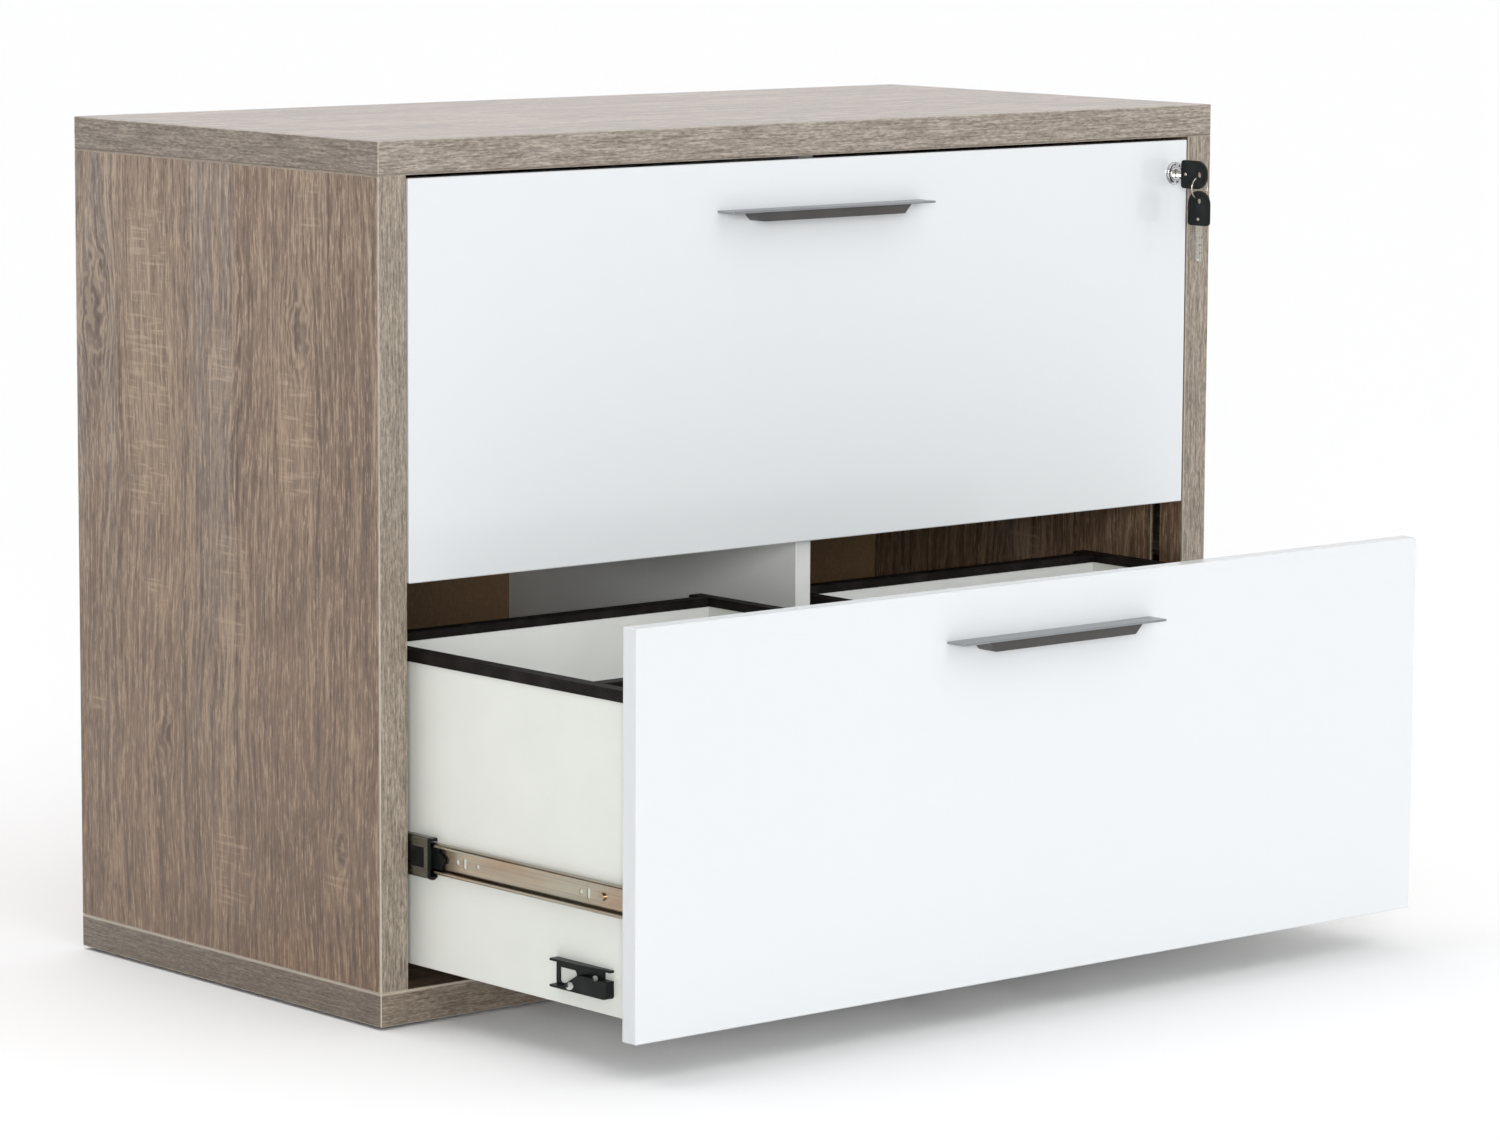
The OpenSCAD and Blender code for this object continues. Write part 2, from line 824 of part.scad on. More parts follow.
module upper_handle() {
    color(brushed) handle(upper_z);
}

module lower_handle() {
    color(brushed) lower_drawer() handle(lower_z);
}

// Boxes. The right box is drawn, and the left one is its mirror image.

module box_side_boards(z) {
    difference() {
        union() {
            translate([box_out - board_t, deep(front_t), z + box_lift]) board([board_t, side_l, box_h]);
            translate([box_in, deep(front_t), z + box_lift]) board([board_t, side_l, box_h]);
        }
        box_bottom_space(z);
        front_bolt_places(z) bolt_bore();
        front_cam_places(z) along_x(cam_d / 2, front_cam_h + fit);
        right_slides(z, drawer_set) drawer_rail_screw_bores();
    }
}

// The grooves for the bottom
module box_bottom_space(z) {
    translate([box_in + board_t - bottom_groove, deep(front_t) - 1, z + box_lift + bottom_up - fit / 2])
        cube([box_w - 2 * (board_t - bottom_groove), side_l + 2, bottom_t + fit]);
}

module box_end_walls(z) {
    h = box_h - bottom_up - bottom_t;
    notch_z = z + box_lift + box_h + rail_top - rail_in_h - fit / 2;
    for (d = [front_wall_d, back_wall_d]) difference() {
        translate([box_in + board_t, deep(d) - board_t / 2, z + box_lift + bottom_up + bottom_t])
            board([box_w - 2 * board_t, board_t, h]);
        for (x = [box_in + board_t - 1, box_out - board_t - rail_wall - fit])
            translate([x, deep(d) - board_t, notch_z]) cube([rail_wall + fit + 1, 2 * board_t, rail_in_h]);
    }
}

module box_bottom(z) {
    reach = bottom_groove - slip;
    l = back_wall_d + board_t / 2 - front_t - 1;
    translate([box_in + board_t - reach, deep(front_t + 1), z + box_lift + bottom_up])
        cube([box_w - 2 * (board_t - reach), l, bottom_t]);
}

// The profile of a file rail, centred on its board, with the board's top at w = 0
module rail_profile(outer_side) {
    left_h = outer_side < 0 ? rail_out_h : rail_in_h;
    right_h = outer_side < 0 ? rail_in_h : rail_out_h;
    b = board_t / 2 + fit / 2;
    a = rail_t / 2 + fit / 2;
    polygon([
        [-b, 0], [b, 0], [b, rail_top - right_h], [a, rail_top - right_h], [a, rail_top - 0.8],
        [a - 0.8, rail_top], [-a + 0.8, rail_top], [-a, rail_top - 0.8], [-a, rail_top - left_h],
        [-b, rail_top - left_h]
    ]);
}

module box_file_rails(z) {
    top = z + box_lift + box_h;
    for (side = [-1, 1]) {
        x = side > 0 ? box_out - board_t / 2 : box_in + board_t / 2;
        translate([x, deep(front_t), top]) drawn(side_l) rail_profile(side);
    }
    span = box_w - 2 * board_t - 2 * rail_wall - fit;
    for (end = [[front_wall_d, -1], [back_wall_d, 1]])
        translate([box_in + board_t + rail_wall + fit / 2, deep(end[0]), top])
            rotate([90, 0, 90]) linear_extrude(span) rail_profile(end[1]);
}

// Bolts and cams that hold the side boards to the front
module front_bolt_places(z) {
    both_sides() for (x = [box_out - board_t / 2, box_in + board_t / 2], h = front_cam_z)
        translate([x, deep(front_t), z + box_lift + h]) rotate([90, 0, 0]) children();
}

// The cams' seats, open to the inside of the box
module front_cam_places(z) {
    both_sides() for (h = front_cam_z) {
        translate([box_out - board_t, deep(front_t + cam_in), z + box_lift + h]) children();
        translate([box_in + board_t, deep(front_t + cam_in), z + box_lift + h]) mirror([1, 0, 0]) children();
    }
}

module front_fittings(z) {
    front_bolt_places(z) cam_bolt(cam_in);
    front_cam_places(z) rotate([90, 0, 0]) cam_disc(front_cam_h, board_t / 2);
}

module upper_right_box_sides() {
    color(box_white) box_side_boards(upper_z);
}

module upper_left_box_sides() {
    mirror([1, 0, 0]) upper_right_box_sides();
}

module lower_right_box_sides() {
    color(box_white) lower_drawer() box_side_boards(lower_z);
}

module lower_left_box_sides() {
    mirror([1, 0, 0]) lower_right_box_sides();
}

module upper_box_walls() {
    color(box_white) both_sides() box_end_walls(upper_z);
}

module lower_box_walls() {
    color(box_white) lower_drawer() both_sides() box_end_walls(lower_z);
}

module upper_box_bottoms() {
    color(box_white) both_sides() box_bottom(upper_z);
}

module lower_box_bottoms() {
    color(box_white) lower_drawer() both_sides() box_bottom(lower_z);
}

module upper_file_rails() {
    color(black) both_sides() box_file_rails(upper_z);
}

module lower_file_rails() {
    color(black) lower_drawer() both_sides() box_file_rails(lower_z);
}

module upper_front_fittings() {
    color(zinc) front_fittings(upper_z);
}

module lower_front_fittings() {
    color(zinc) lower_drawer() front_fittings(lower_z);
}

// Screws of the handle and of the drawer rails
module drawer_screws(z) {
    handle_screw_places(z) {
        translate([0, -handle_d / 2 + 3, 0]) along_y(screw_r, handle_d / 2 - 3 + front_t);
        translate([0, front_t, 0]) along_y(4, 2.4);
    }
    both_sides() right_slides(z, drawer_set) drawer_rail_screws();
}

module upper_drawer_screws() {
    color(zinc) drawer_screws(upper_z);
}

module lower_drawer_screws() {
    color(zinc) lower_drawer() drawer_screws(lower_z);
}

// Catches. A catch stands on the outside of the right box: u outwards, v backwards, w up.

module catch_place(z) {
    translate([box_out, deep(catch_set), z + box_lift + catch_up]) children();
}

// A catch: a web and two flanges, a block at its front that slopes down to the back, and the
// channel above the block for a bar's pin. Its two screw holes slant, as they are driven from
// in front of the drawer's side.
module catch() {
    head = catch_h - catch_flange;
    ramp = catch_l / 2;
    foot = catch_l * 0.8;
    difference() {
        union() {
            cube([catch_d, catch_l, catch_flange]);
            translate([0, 0, head]) linear_extrude(catch_flange) top_flange();
            cube([catch_web, catch_l, catch_h]);
            rotate([90, 0, 90]) linear_extrude(catch_d) polygon([
                [catch_corner, 0], [0, catch_corner], [0, catch_step], [ramp, catch_step],
                [foot, catch_flange], [foot, 0]
            ]);
        }
        translate([-1, -1, catch_step]) cube([catch_web + 2, catch_notch + 1, head - catch_step]);
        translate([-1, 0, 0]) rotate([90, 0, 90]) linear_extrude(catch_web + 2) catch_window();
        translate([-1, -1, -1]) cube([catch_d + 2, catch_corner + 1, catch_corner + 1]);
        translate([catch_web, ramp - 14, catch_step - 1.4]) catch_bore(2.5);
        translate([catch_web, foot - 2.6, catch_flange]) catch_bore(3.3);
    }
    translate([0, catch_corner, catch_corner]) along_x(catch_corner, catch_d);
}

// The top flange in plan: narrow at its front, where the pin comes in
module top_flange() {
    polygon([[0, 0], [catch_neck, 0], [catch_d, catch_l / 2], [catch_d, catch_l], [0, catch_l]]);
}

// The window in the web, in v and w: upright at the back, pointed at the front
module catch_window() {
    back = catch_l - 4.5;
    front = catch_l * 0.63;
    top = catch_step + 1.2;
    polygon([
        [back, top], [front + 2, top], [front, top - 3.2], [front + 2, top - 6], [front + 11, top - 11],
        [back - 6, catch_flange + 1], [back - 1.5, catch_flange + 1.4], [back, catch_flange + 3]
    ]);
}

module catch_bore(r) {
    rotate([0, 78, -51]) translate([0, 0, -4]) cylinder(r = r, h = 22);
}

module upper_catches() {
    color(black) both_sides() catch_place(upper_z) catch();
}

module lower_catches() {
    color(black) lower_drawer() both_sides() catch_place(lower_z) catch();
}

// Lock bars. A bar slides up and down in the groove of a side panel.

module bar_with_pins() {
    x = in_x + groove_d - slip - bar_t;
    foot = z_low + bar_low;
    translate([x, deep(bar_set) - bar_w / 2, foot]) cube([bar_t, bar_w, bar_top - foot]);
    for (z = [lower_z, upper_z])
        translate([box_out + pin_end, deep(bar_set), z + box_lift + catch_up + pin_up])
            along_x(pin_r, x - box_out - pin_end + 1);
}

module anti_tilt_bar() {
    color(zinc) mirror([1, 0, 0]) bar_with_pins();
}

module lock_bar() {
    color(zinc) {
        bar_with_pins();
        translate([lock_x - 4, deep(bar_set) - bar_w / 2, tab_z])
            cube([in_x + groove_d - slip - lock_x + 4, bar_w, tab_t]);
    }
}

// Lock. Its parts are drawn round the lock's axis, with y = 0 at the front's face.

module lock_place() {
    translate([lock_x, front_y, lock_z]) children();
}

module lock_housing() {
    color(chrome) lock_place() difference() {
        union() {
            along_y(lock_barrel_d / 2, barrel_back);
            translate([0, -face_t, 0]) rotate([-90, 0, 0])
                cylinder(r1 = lock_face_d / 2 - 1, r2 = lock_face_d / 2, h = 1);
            translate([0, 1 - face_t, 0]) along_y(lock_face_d / 2, face_t - 1);
        }
        translate([0, -face_t - 1, 0]) along_y(plug_d / 2 + fit / 2, barrel_back + face_t + 2);
    }
}

module lock_plug() {
    color(chrome) lock_place() difference() {
        union() {
            translate([0, -face_t + 0.4, 0]) along_y(plug_d / 2, barrel_back + face_t - 0.4);
            translate([-3, barrel_back - 1, -3]) cube([6, 1 + cam_gap + cam_t + 1, 6]);
        }
        translate([-key_slot_w / 2, -face_t - 1, -key_slot_h / 2]) cube([key_slot_w, key_in + 2, key_slot_h]);
    }
}

// The cam stands on the plug's square end; its drive pin lies beside the axis
module lock_cam() {
    y = barrel_back + cam_gap;
    color(zinc) lock_place() {
        difference() {
            union() {
                translate([0, y, 0]) along_y(6.5, cam_t);
                translate([0, y, -4.5]) cube([cam_r, cam_t, 9]);
                translate([cam_r, y, 0]) along_y(4.5, cam_t);
            }
            translate([-3 - fit / 2, y - 1, -3 - fit / 2]) cube([6 + fit, cam_t + 2, 6 + fit]);
        }
        translate([cam_r, y, 0]) along_y(cam_pin_r, cam_t + cam_pin_l);
    }
}

// A key in the plane of v and w: its blade points to +v from v = 0, its grip lies at -v
module key_outline_grip() {
    r = key_grip_w / 2;
    translate([-key_grip_l + r, 0]) circle(r = r);
    translate([-key_grip_l + r, -r + 3]) square([key_grip_l - r, key_grip_w - 6]);
    translate([-key_grip_l + r, -r]) square([key_grip_l - r - 3, key_grip_w]);
    for (side = [-1, 1]) translate([-3, side * (r - 3)]) circle(r = 3, $fn = 24);
}

module key_shape() {
    translate([-key_grip_t / 2, 0, 0]) rotate([90, 0, 90]) linear_extrude(key_grip_t) difference() {
        key_outline_grip();
        translate([-key_grip_l + key_hole_in, 0]) circle(r = key_hole_r);
    }
    translate([-key_t / 2, 0, 0]) rotate([90, 0, 90]) linear_extrude(key_t) difference() {
        translate([-4, -key_h / 2]) square([key_blade_l + 4, key_h]);
        for (k = [0:4]) translate([12 + 4 * k, key_h / 2 + 0.4]) circle(r = 1.3 + 0.25 * (k % 3), $fn = 24);
        translate([key_blade_l, -key_h / 2]) rotate(45) square(3, center = true);
    }
}

module key() {
    color(black) lock_place() translate([0, -face_t - key_out, 0]) key_shape();
}

module key_ring() {
    color(zinc) lock_place() translate([0, key_eye_y, ring_hang_z]) rotate([90, 0, 0])
        rotate_extrude() translate([ring_r - ring_wire / 2, 0]) circle(r = ring_wire / 2, $fn = 24);
}

module spare_key() {
    color(black) lock_place() translate([0, key_eye_y, spare_z]) rotate([-90, 0, 0]) key_shape();
}

top_panel();
bottom_panel();
left_side_panel();
right_side_panel();
centre_divider();
back_panel();
floor_glides();
carcass_dowels();
cam_fittings();
divider_packers();
cabinet_rail_screws();
upper_left_cabinet_rails();
upper_right_cabinet_rails();
lower_left_cabinet_rails();
lower_right_cabinet_rails();
upper_left_middle_rails();
upper_right_middle_rails();
lower_left_middle_rails();
lower_right_middle_rails();
upper_rail_bumpers();
lower_rail_bumpers();
upper_outer_ball_cages();
lower_outer_ball_cages();
upper_inner_ball_cages();
lower_inner_ball_cages();
upper_left_drawer_rails();
upper_right_drawer_rails();
lower_left_drawer_rails();
lower_right_drawer_rails();
upper_release_levers();
lower_release_levers();
upper_front();
lower_front();
upper_handle();
lower_handle();
upper_left_box_sides();
upper_right_box_sides();
lower_left_box_sides();
lower_right_box_sides();
upper_box_walls();
lower_box_walls();
upper_box_bottoms();
lower_box_bottoms();
upper_file_rails();
lower_file_rails();
upper_catches();
lower_catches();
upper_drawer_screws();
lower_drawer_screws();
upper_front_fittings();
lower_front_fittings();
lock_housing();
lock_plug();
lock_cam();
key();
key_ring();
spare_key();
lock_bar();
anti_tilt_bar();
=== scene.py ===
import math
import random
import bpy
from mathutils import Matrix, Vector


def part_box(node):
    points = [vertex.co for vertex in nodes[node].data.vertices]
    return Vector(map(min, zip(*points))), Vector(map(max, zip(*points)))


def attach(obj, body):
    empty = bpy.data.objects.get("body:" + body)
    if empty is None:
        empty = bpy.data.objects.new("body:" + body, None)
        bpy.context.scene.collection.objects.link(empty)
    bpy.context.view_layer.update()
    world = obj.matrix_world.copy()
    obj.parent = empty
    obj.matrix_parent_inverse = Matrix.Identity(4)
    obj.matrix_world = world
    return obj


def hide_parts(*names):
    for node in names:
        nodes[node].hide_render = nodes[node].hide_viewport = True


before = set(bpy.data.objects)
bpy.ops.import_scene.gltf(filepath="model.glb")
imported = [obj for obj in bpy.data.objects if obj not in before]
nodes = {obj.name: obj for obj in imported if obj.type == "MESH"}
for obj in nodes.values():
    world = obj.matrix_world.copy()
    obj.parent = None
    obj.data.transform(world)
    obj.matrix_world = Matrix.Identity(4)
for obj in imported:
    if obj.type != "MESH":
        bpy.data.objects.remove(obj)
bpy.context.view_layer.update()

cameraView = {
    "lens": 136.43,  # millimetres
    "sensor": 36,
    "clip": (0.05, 200),
    "yaw": 0.70888,  # turned from +Y towards +X
    "pitch": 0.13591,  # looking down
    "roll": 0.0052,
    "distance": 5.1479,
    "target": (-0.0816, -0.230, 0.3682),
}


def makeCamera(view):
    yaw, pitch, roll = view["yaw"], view["pitch"], view["roll"]
    forward = Vector((math.sin(yaw) * math.cos(pitch), math.cos(yaw) * math.cos(pitch), -math.sin(pitch)))
    level = Vector((math.cos(yaw), -math.sin(yaw), 0))
    upright = level.cross(forward)
    right = level * math.cos(roll) + upright * math.sin(roll)
    up = upright * math.cos(roll) - level * math.sin(roll)
    data = bpy.data.cameras.new("photoCamera")
    data.lens = view["lens"]
    data.sensor_width = view["sensor"]
    data.clip_start, data.clip_end = view["clip"]
    camera = bpy.data.objects.new("photoCamera", data)
    bpy.context.scene.collection.objects.link(camera)
    turn = Matrix((right, up, -forward)).transposed()
    stand = Vector(view["target"]) - forward * view["distance"]
    camera.matrix_world = Matrix.Translation(stand) @ turn.to_4x4()
    bpy.context.scene.camera = camera


makeCamera(cameraView)
print("camera in place")


# Node helpers for the materials

def newMaterial(name):
    material = bpy.data.materials.new(name)
    material.use_nodes = True
    tree = material.node_tree
    return material, tree, tree.nodes["Principled BSDF"]


def plug(tree, made, values):
    for key, value in values.items():
        if isinstance(value, bpy.types.NodeSocket):
            tree.links.new(value, made.inputs[key])
        else:
            made.inputs[key].default_value = value
    return made


def addNode(tree, kind, values=None, **settings):
    made = tree.nodes.new(kind)
    for key, value in settings.items():
        setattr(made, key, value)
    return plug(tree, made, values or {})


def calc(tree, operation, a, b=0.5):
    return addNode(tree, "ShaderNodeMath", {0: a, 1: b}, operation=operation).outputs[0]


def total(tree, *parts):
    made = parts[0]
    for part in parts[1:]:
        made = calc(tree, "ADD", made, part)
    return made


def product(tree, *parts):
    made = parts[0]
    for part in parts[1:]:
        made = calc(tree, "MULTIPLY", made, part)
    return made


def fromTo(tree, value, low, high, toLow=0.0, toHigh=1.0):
    return addNode(tree, "ShaderNodeMapRange", {0: value, 1: low, 2: high, 3: toLow, 4: toHigh}).outputs[0]


def within(tree, value, middle, half, soft):
    away = calc(tree, "ABSOLUTE", calc(tree, "SUBTRACT", value, middle))
    return fromTo(tree, away, half + soft, half - soft)


def mixColor(tree, factor, a, b, blend="MIX"):
    made = addNode(tree, "ShaderNodeMix", data_type="RGBA", blend_type=blend)
    return plug(tree, made, {0: factor, 6: a, 7: b}).outputs[2]


def mixNumber(tree, factor, a, b):
    made = addNode(tree, "ShaderNodeMix", data_type="FLOAT")
    return plug(tree, made, {0: factor, 2: a, 3: b}).outputs[0]


def vector(tree, x, y, z):
    return addNode(tree, "ShaderNodeCombineXYZ", {0: x, 1: y, 2: z}).outputs[0]


def scaled(tree, place, factors):
    return addNode(tree, "ShaderNodeMapping", {0: place, "Scale": factors}).outputs[0]


def noise(tree, place, scale=1.0, detail=2.0, roughness=0.5):
    return addNode(tree, "ShaderNodeTexNoise", {
        "Vector": place, "Scale": scale, "Detail": detail, "Roughness": roughness,
    }).outputs[0]


def ramp(tree, value, stops):
    made = addNode(tree, "ShaderNodeValToRGB", {0: value})
    elements = made.color_ramp.elements
    while len(elements) < len(stops):
        elements.new(0.5)
    for element, (position, color) in zip(elements, stops):
        element.position = position
        element.color = color
    return made.outputs[0]


def srgb(red, green, blue):
    return tuple(pow(channel / 255, 2.2) for channel in (red, green, blue)) + (1,)


def objectPlace(tree):
    return addNode(tree, "ShaderNodeTexCoord").outputs["Object"]


def addBump(tree, shader, height, strength, distance):
    bump = addNode(tree, "ShaderNodeBump", {"Height": height, "Strength": strength, "Distance": distance})
    tree.links.new(bump.outputs[0], shader.inputs["Normal"])


def varyRoughness(tree, shader, value, span, roughness, spread):
    rough = fromTo(tree, value, *span, roughness + spread[0], roughness + spread[1])
    tree.links.new(rough, shader.inputs["Roughness"])


def dimmed(color, share):
    return tuple(channel * share for channel in color[:3]) + (1,)


studio = {
    "floorSize": 160.0,
    "floorColor": (0.96, 0.96, 0.965, 1),
    "skyColor": (1.0, 1.0, 1.0, 1),
    "backdrop": (1.18, 1.18, 1.18, 1),
    "shadeColor": (0.05, 0.05, 0.06, 1),
    "shadeSide": (-1.0, 0.25, 0.0),  # a dark screen stands on this side
    "shadeSpan": (0.15, 0.75),
    "skyStrength": 0.86,
    "suns": {  # where the light comes from, softness in degrees, strength
        "keySun": ((-0.10, -0.80, 1.0), 45, 0.38),
        "frontSun": ((-0.63, -0.76, 0.17), 20, 1.60),
        "topSun": ((-0.10, 0.50, 1.0), 50, 0.66),
    },
    "lampPlace": (-1.55, 0.15, 1.65),  # a soft box above the left side
    "lampAim": (-0.5, 0.0, 0.6),
    "lampSize": 0.9,
    "lampPower": 5.0,
}


def makeSky(look):
    world = bpy.data.worlds.new("studioSky")
    world.use_nodes = True
    tree = world.node_tree
    background = tree.nodes["Background"]
    way = addNode(tree, "ShaderNodeTexCoord").outputs["Generated"]
    turned = addNode(tree, "ShaderNodeVectorMath", {0: way, 1: look["shadeSide"]}, operation="DOT_PRODUCT")
    toShade = fromTo(tree, turned.outputs["Value"], *look["shadeSpan"])
    sky = mixColor(tree, toShade, look["skyColor"], look["shadeColor"])
    seen = addNode(tree, "ShaderNodeLightPath").outputs["Is Camera Ray"]  # the backdrop itself stays white
    tree.links.new(mixColor(tree, seen, sky, look["backdrop"]), background.inputs[0])
    background.inputs[1].default_value = look["skyStrength"]
    bpy.context.scene.world = world


def addLamp(name, data, place, toLight):
    lamp = bpy.data.objects.new(name, data)
    lamp.location = place
    lamp.rotation_euler = Vector(toLight).to_track_quat("Z", "Y").to_euler()
    bpy.context.scene.collection.objects.link(lamp)


def makeLamps(look):
    for name, (fromPlace, softness, strength) in look["suns"].items():
        data = bpy.data.lights.new(name, "SUN")
        data.angle = math.radians(softness)
        data.energy = strength
        addLamp(name, data, (0, 0, 0), fromPlace)
    data = bpy.data.lights.new("sideLamp", "AREA")
    data.size, data.energy = look["lampSize"], look["lampPower"]
    addLamp("sideLamp", data, look["lampPlace"], Vector(look["lampPlace"]) - Vector(look["lampAim"]))


def makeFloor(look):
    bpy.ops.object.select_all(action="DESELECT")
    bpy.ops.mesh.primitive_plane_add(size=look["floorSize"], location=(0, 0, 0))
    floor = bpy.context.object
    floor.name = "studioFloor"
    material, tree, shader = newMaterial("studioPaper")
    shader.inputs["Base Color"].default_value = look["floorColor"]
    shader.inputs["Roughness"].default_value = 1.0
    shader.inputs["Specular IOR Level"].default_value = 0.0
    floor.data.materials.append(material)


def makeStudio(look):
    bpy.context.scene.view_settings.view_transform = "Standard"  # keeps the paper white
    makeSky(look)
    makeLamps(look)
    makeFloor(look)


makeStudio(studio)
print("studio in place")


# Truffle oak laminate. Its planks, saw marks and knots are lists, in metres along and across the grain.

oak = {
    "brown": srgb(122, 100, 83),
    "pale": srgb(131, 111, 94),
    "grey": srgb(124, 111, 102),
    "dark": srgb(116, 95, 78),
    "pore": srgb(74, 57, 45),
    "fleck": srgb(172, 152, 131),
    "band": srgb(134, 123, 110),
    "bandPore": srgb(90, 80, 68),
    "bandFleck": srgb(171, 160, 144),
    "endPaintedShade": (0.74, 0.71, 0.68, 1),  # painted shade: the bands on the short ends are darkened and browned
    "corner": srgb(196, 186, 170),
    "roughness": 0.42,
    "specular": 0.2,
    "coat": 1.0,  # the sheen of the laminate, seen at a low angle
    "coatRoughness": 0.25,
    "coatIor": 1.4,
}

sideGrain = {
    "paintedFalloff": (0.72, 0.04, (0.78, 0.69, 0.57, 1)),  # painted shade: the boards are darkened from one height down to the other, for light falling off towards the floor
    "settle": (0.46, 0.12, 0.75),  # and more alike
    "planks": [
        ("dark", -0.23), ("brown", -0.15), ("brown", -0.10),
        ("grey", -0.014), ("pale", 0.046), ("grey", 0.168),
    ],
    "lines": [(-0.021, 0.36, 0.40), (-0.141, 0.56, 0.17), (0.061, 0.30, 0.26), (0.160, 0.45, 0.22)],
    "knots": [(-0.116, 0.600, 0.021), (0.203, 0.606, 0.030), (0.092, 0.219, 0.014), (-0.171, 0.145, 0.012)],
    "saw": [
        (0.115, 0.030, 0.415, 0.690), (0.002, 0.018, 0.525, 0.590), (-0.111, 0.023, 0.455, 0.565),
        (-0.130, 0.013, 0.680, 0.735), (-0.015, 0.018, 0.360, 0.415), (0.103, 0.017, 0.330, 0.372),
        (-0.010, 0.022, 0.312, 0.342), (-0.010, 0.024, 0.072, 0.150), (-0.165, 0.016, 0.105, 0.155),
        (0.198, 0.016, 0.228, 0.250),
    ],
}


# How the grain is drawn. A noise is its scale across, its scale along, seed, detail and roughness.
# A stain is where its tone starts to show, where it shows fully, and how strongly.
figure = {
    "faceLeast": 0.72,  # a normal longer than this lies on the broad face
    "edgeLeast": 0.69,
    "lipMost": 0.7,
    "edgeShift": 0.37,  # so that an edge doesn't repeat the face
    "wave": (7.0, 2.6, 1.0),
    "waveBend": 0.035,  # how far the wave moves the fine grain, the joints and the growth lines
    "waveJoint": 0.020,
    "waveRing": 0.06,
    "knotLong": 2.2,  # how much longer a knot is along the grain
    "knotFall": -0.8,
    "knotPull": -0.85,
    "knotHeart": (0.30, 0.04),
    "knotShare": 0.35,
    "plankSpan": (-0.26, 0.26),
    "jointSoft": (0.012, 0.010),  # before and after a joint, as shares of the span
    "lastStops": (0.998, 0.999),
    "cloud": (22.0, 1.7, 2.0, 3.0, 0.55),
    "cloudDark": (0.50, 0.66, 0.85),
    "cloudPale": (0.49, 0.34, 0.80),
    "strands": (130.0, 5.0, 7.0, 3.0, 0.62),
    "strandDark": (0.50, 0.68, 0.48),
    "strandPale": (0.48, 0.30, 0.48),
    "ringScale": 640.0,
    "ringPatches": (20.0, 2.4, 3.0),
    "ringPatchSpan": (0.46, 0.64),
    "ringDark": (0.35, 1.0, 0.36),
    "ringPale": (-0.35, -1.0, 0.34),
    "line": (0.0012, 0.0022),  # half its width, and how soft it is
    "lineFade": 0.12,
    "lineShare": 0.72,
    "pores": (430.0, 26.0, 4.0, 4.0, 0.68),
    "hairs": (480.0, 85.0, 8.0, 3.0, 0.62),
    "poreLayer": 0.62,  # the share of the first of two layers
    "poreSpan": (0.48, 0.39),
    "fleckSpan": (0.52, 0.61),
    "poreShare": 0.70,
    "fleckShare": 0.78,
    "sawSoft": (0.008, 0.012),  # the edge of a saw column, across and along
    "ticks": (24.0, 250.0, 5.0, 1.0),
    "tickSpan": (0.54, 0.66),
    "tickThrough": (0.34, 0.56, 0.25, 1.0),  # ticks are weaker in the pores
    "sawShare": 0.18,
    "tickShare": 0.70,
    "swirl": (45.0, 30.0, 9.0, 2.0),
    "swirlBend": 0.030,
    "swirlScale": 900.0,
    "swirlDark": (0.2, 0.9, 0.42),
    "swirlPale": (-0.1, -0.9, 0.60),
    "bandPores": (560.0, 30.0, 6.0, 4.0, 0.68),
    "bandHairs": (620.0, 150.0, 5.0, 3.0, 0.62),
    "bandLayer": 0.55,
    "bandDark": (0.49, 0.40, 0.72),
    "bandPale": (0.51, 0.60, 0.72),
    "cornerSpan": (0.93, 0.80),
    "cornerWorn": (0.72, 0.10, 0.28, 0.65),  # from height to height, from share to share
    "lip": (0.0009, 0.0006),
    "roughSpan": (0.3, 0.7),
    "roughSpread": (0.06, -0.04),
    "heights": (0.5, 0.4, -1.0),  # of flecks, saw ticks and pores
    "bump": (0.25, 0.0003),
}

drawnLook = {
    "halfWide": 0.25,  # the board that is drawn, in metres
    "halfLong": 0.5,
    "plankWide": (0.05, 0.11),
    "lineReach": (0.15, 0.5),
    "lines": 4,
    "knots": 3,
    "knotSize": (0.010, 0.022),
    "sawHalf": (0.012, 0.03),
    "sawLong": (0.03, 0.2),
}


def drawnGrain(seed, sawCount, look):
    draw = random.Random(seed)
    tones = ["brown", "pale", "grey", "dark"]
    wide, long = look["halfWide"], look["halfLong"]
    planks, lines, at = [], [], -wide
    while at < wide:
        planks.append((draw.choice(tones), at))
        lines.append((at, draw.uniform(-long, long), draw.uniform(*look["lineReach"])))
        at += draw.uniform(*look["plankWide"])
    knots = []
    for _ in range(look["knots"]):
        knots.append((draw.uniform(-wide, wide), draw.uniform(-long, long), draw.uniform(*look["knotSize"])))
    saw = []
    for _ in range(sawCount):
        start = draw.uniform(-long, long)
        across, half = draw.uniform(-wide, wide), draw.uniform(*look["sawHalf"])
        saw.append((across, half, start, start + draw.uniform(*look["sawLong"])))
    return {"planks": planks, "lines": lines[1:1 + look["lines"]], "knots": knots, "saw": saw}


def stain(tree, color, tone, value, how, *masks, strength=1.0):
    start, full, share = how
    shown = fromTo(tree, value, start, full, 0.0, share * strength)
    return mixColor(tree, product(tree, shown, *masks), color, tone)


def tinted(tree, color, tint):
    return mixColor(tree, 1.0, color, tint, "MULTIPLY")


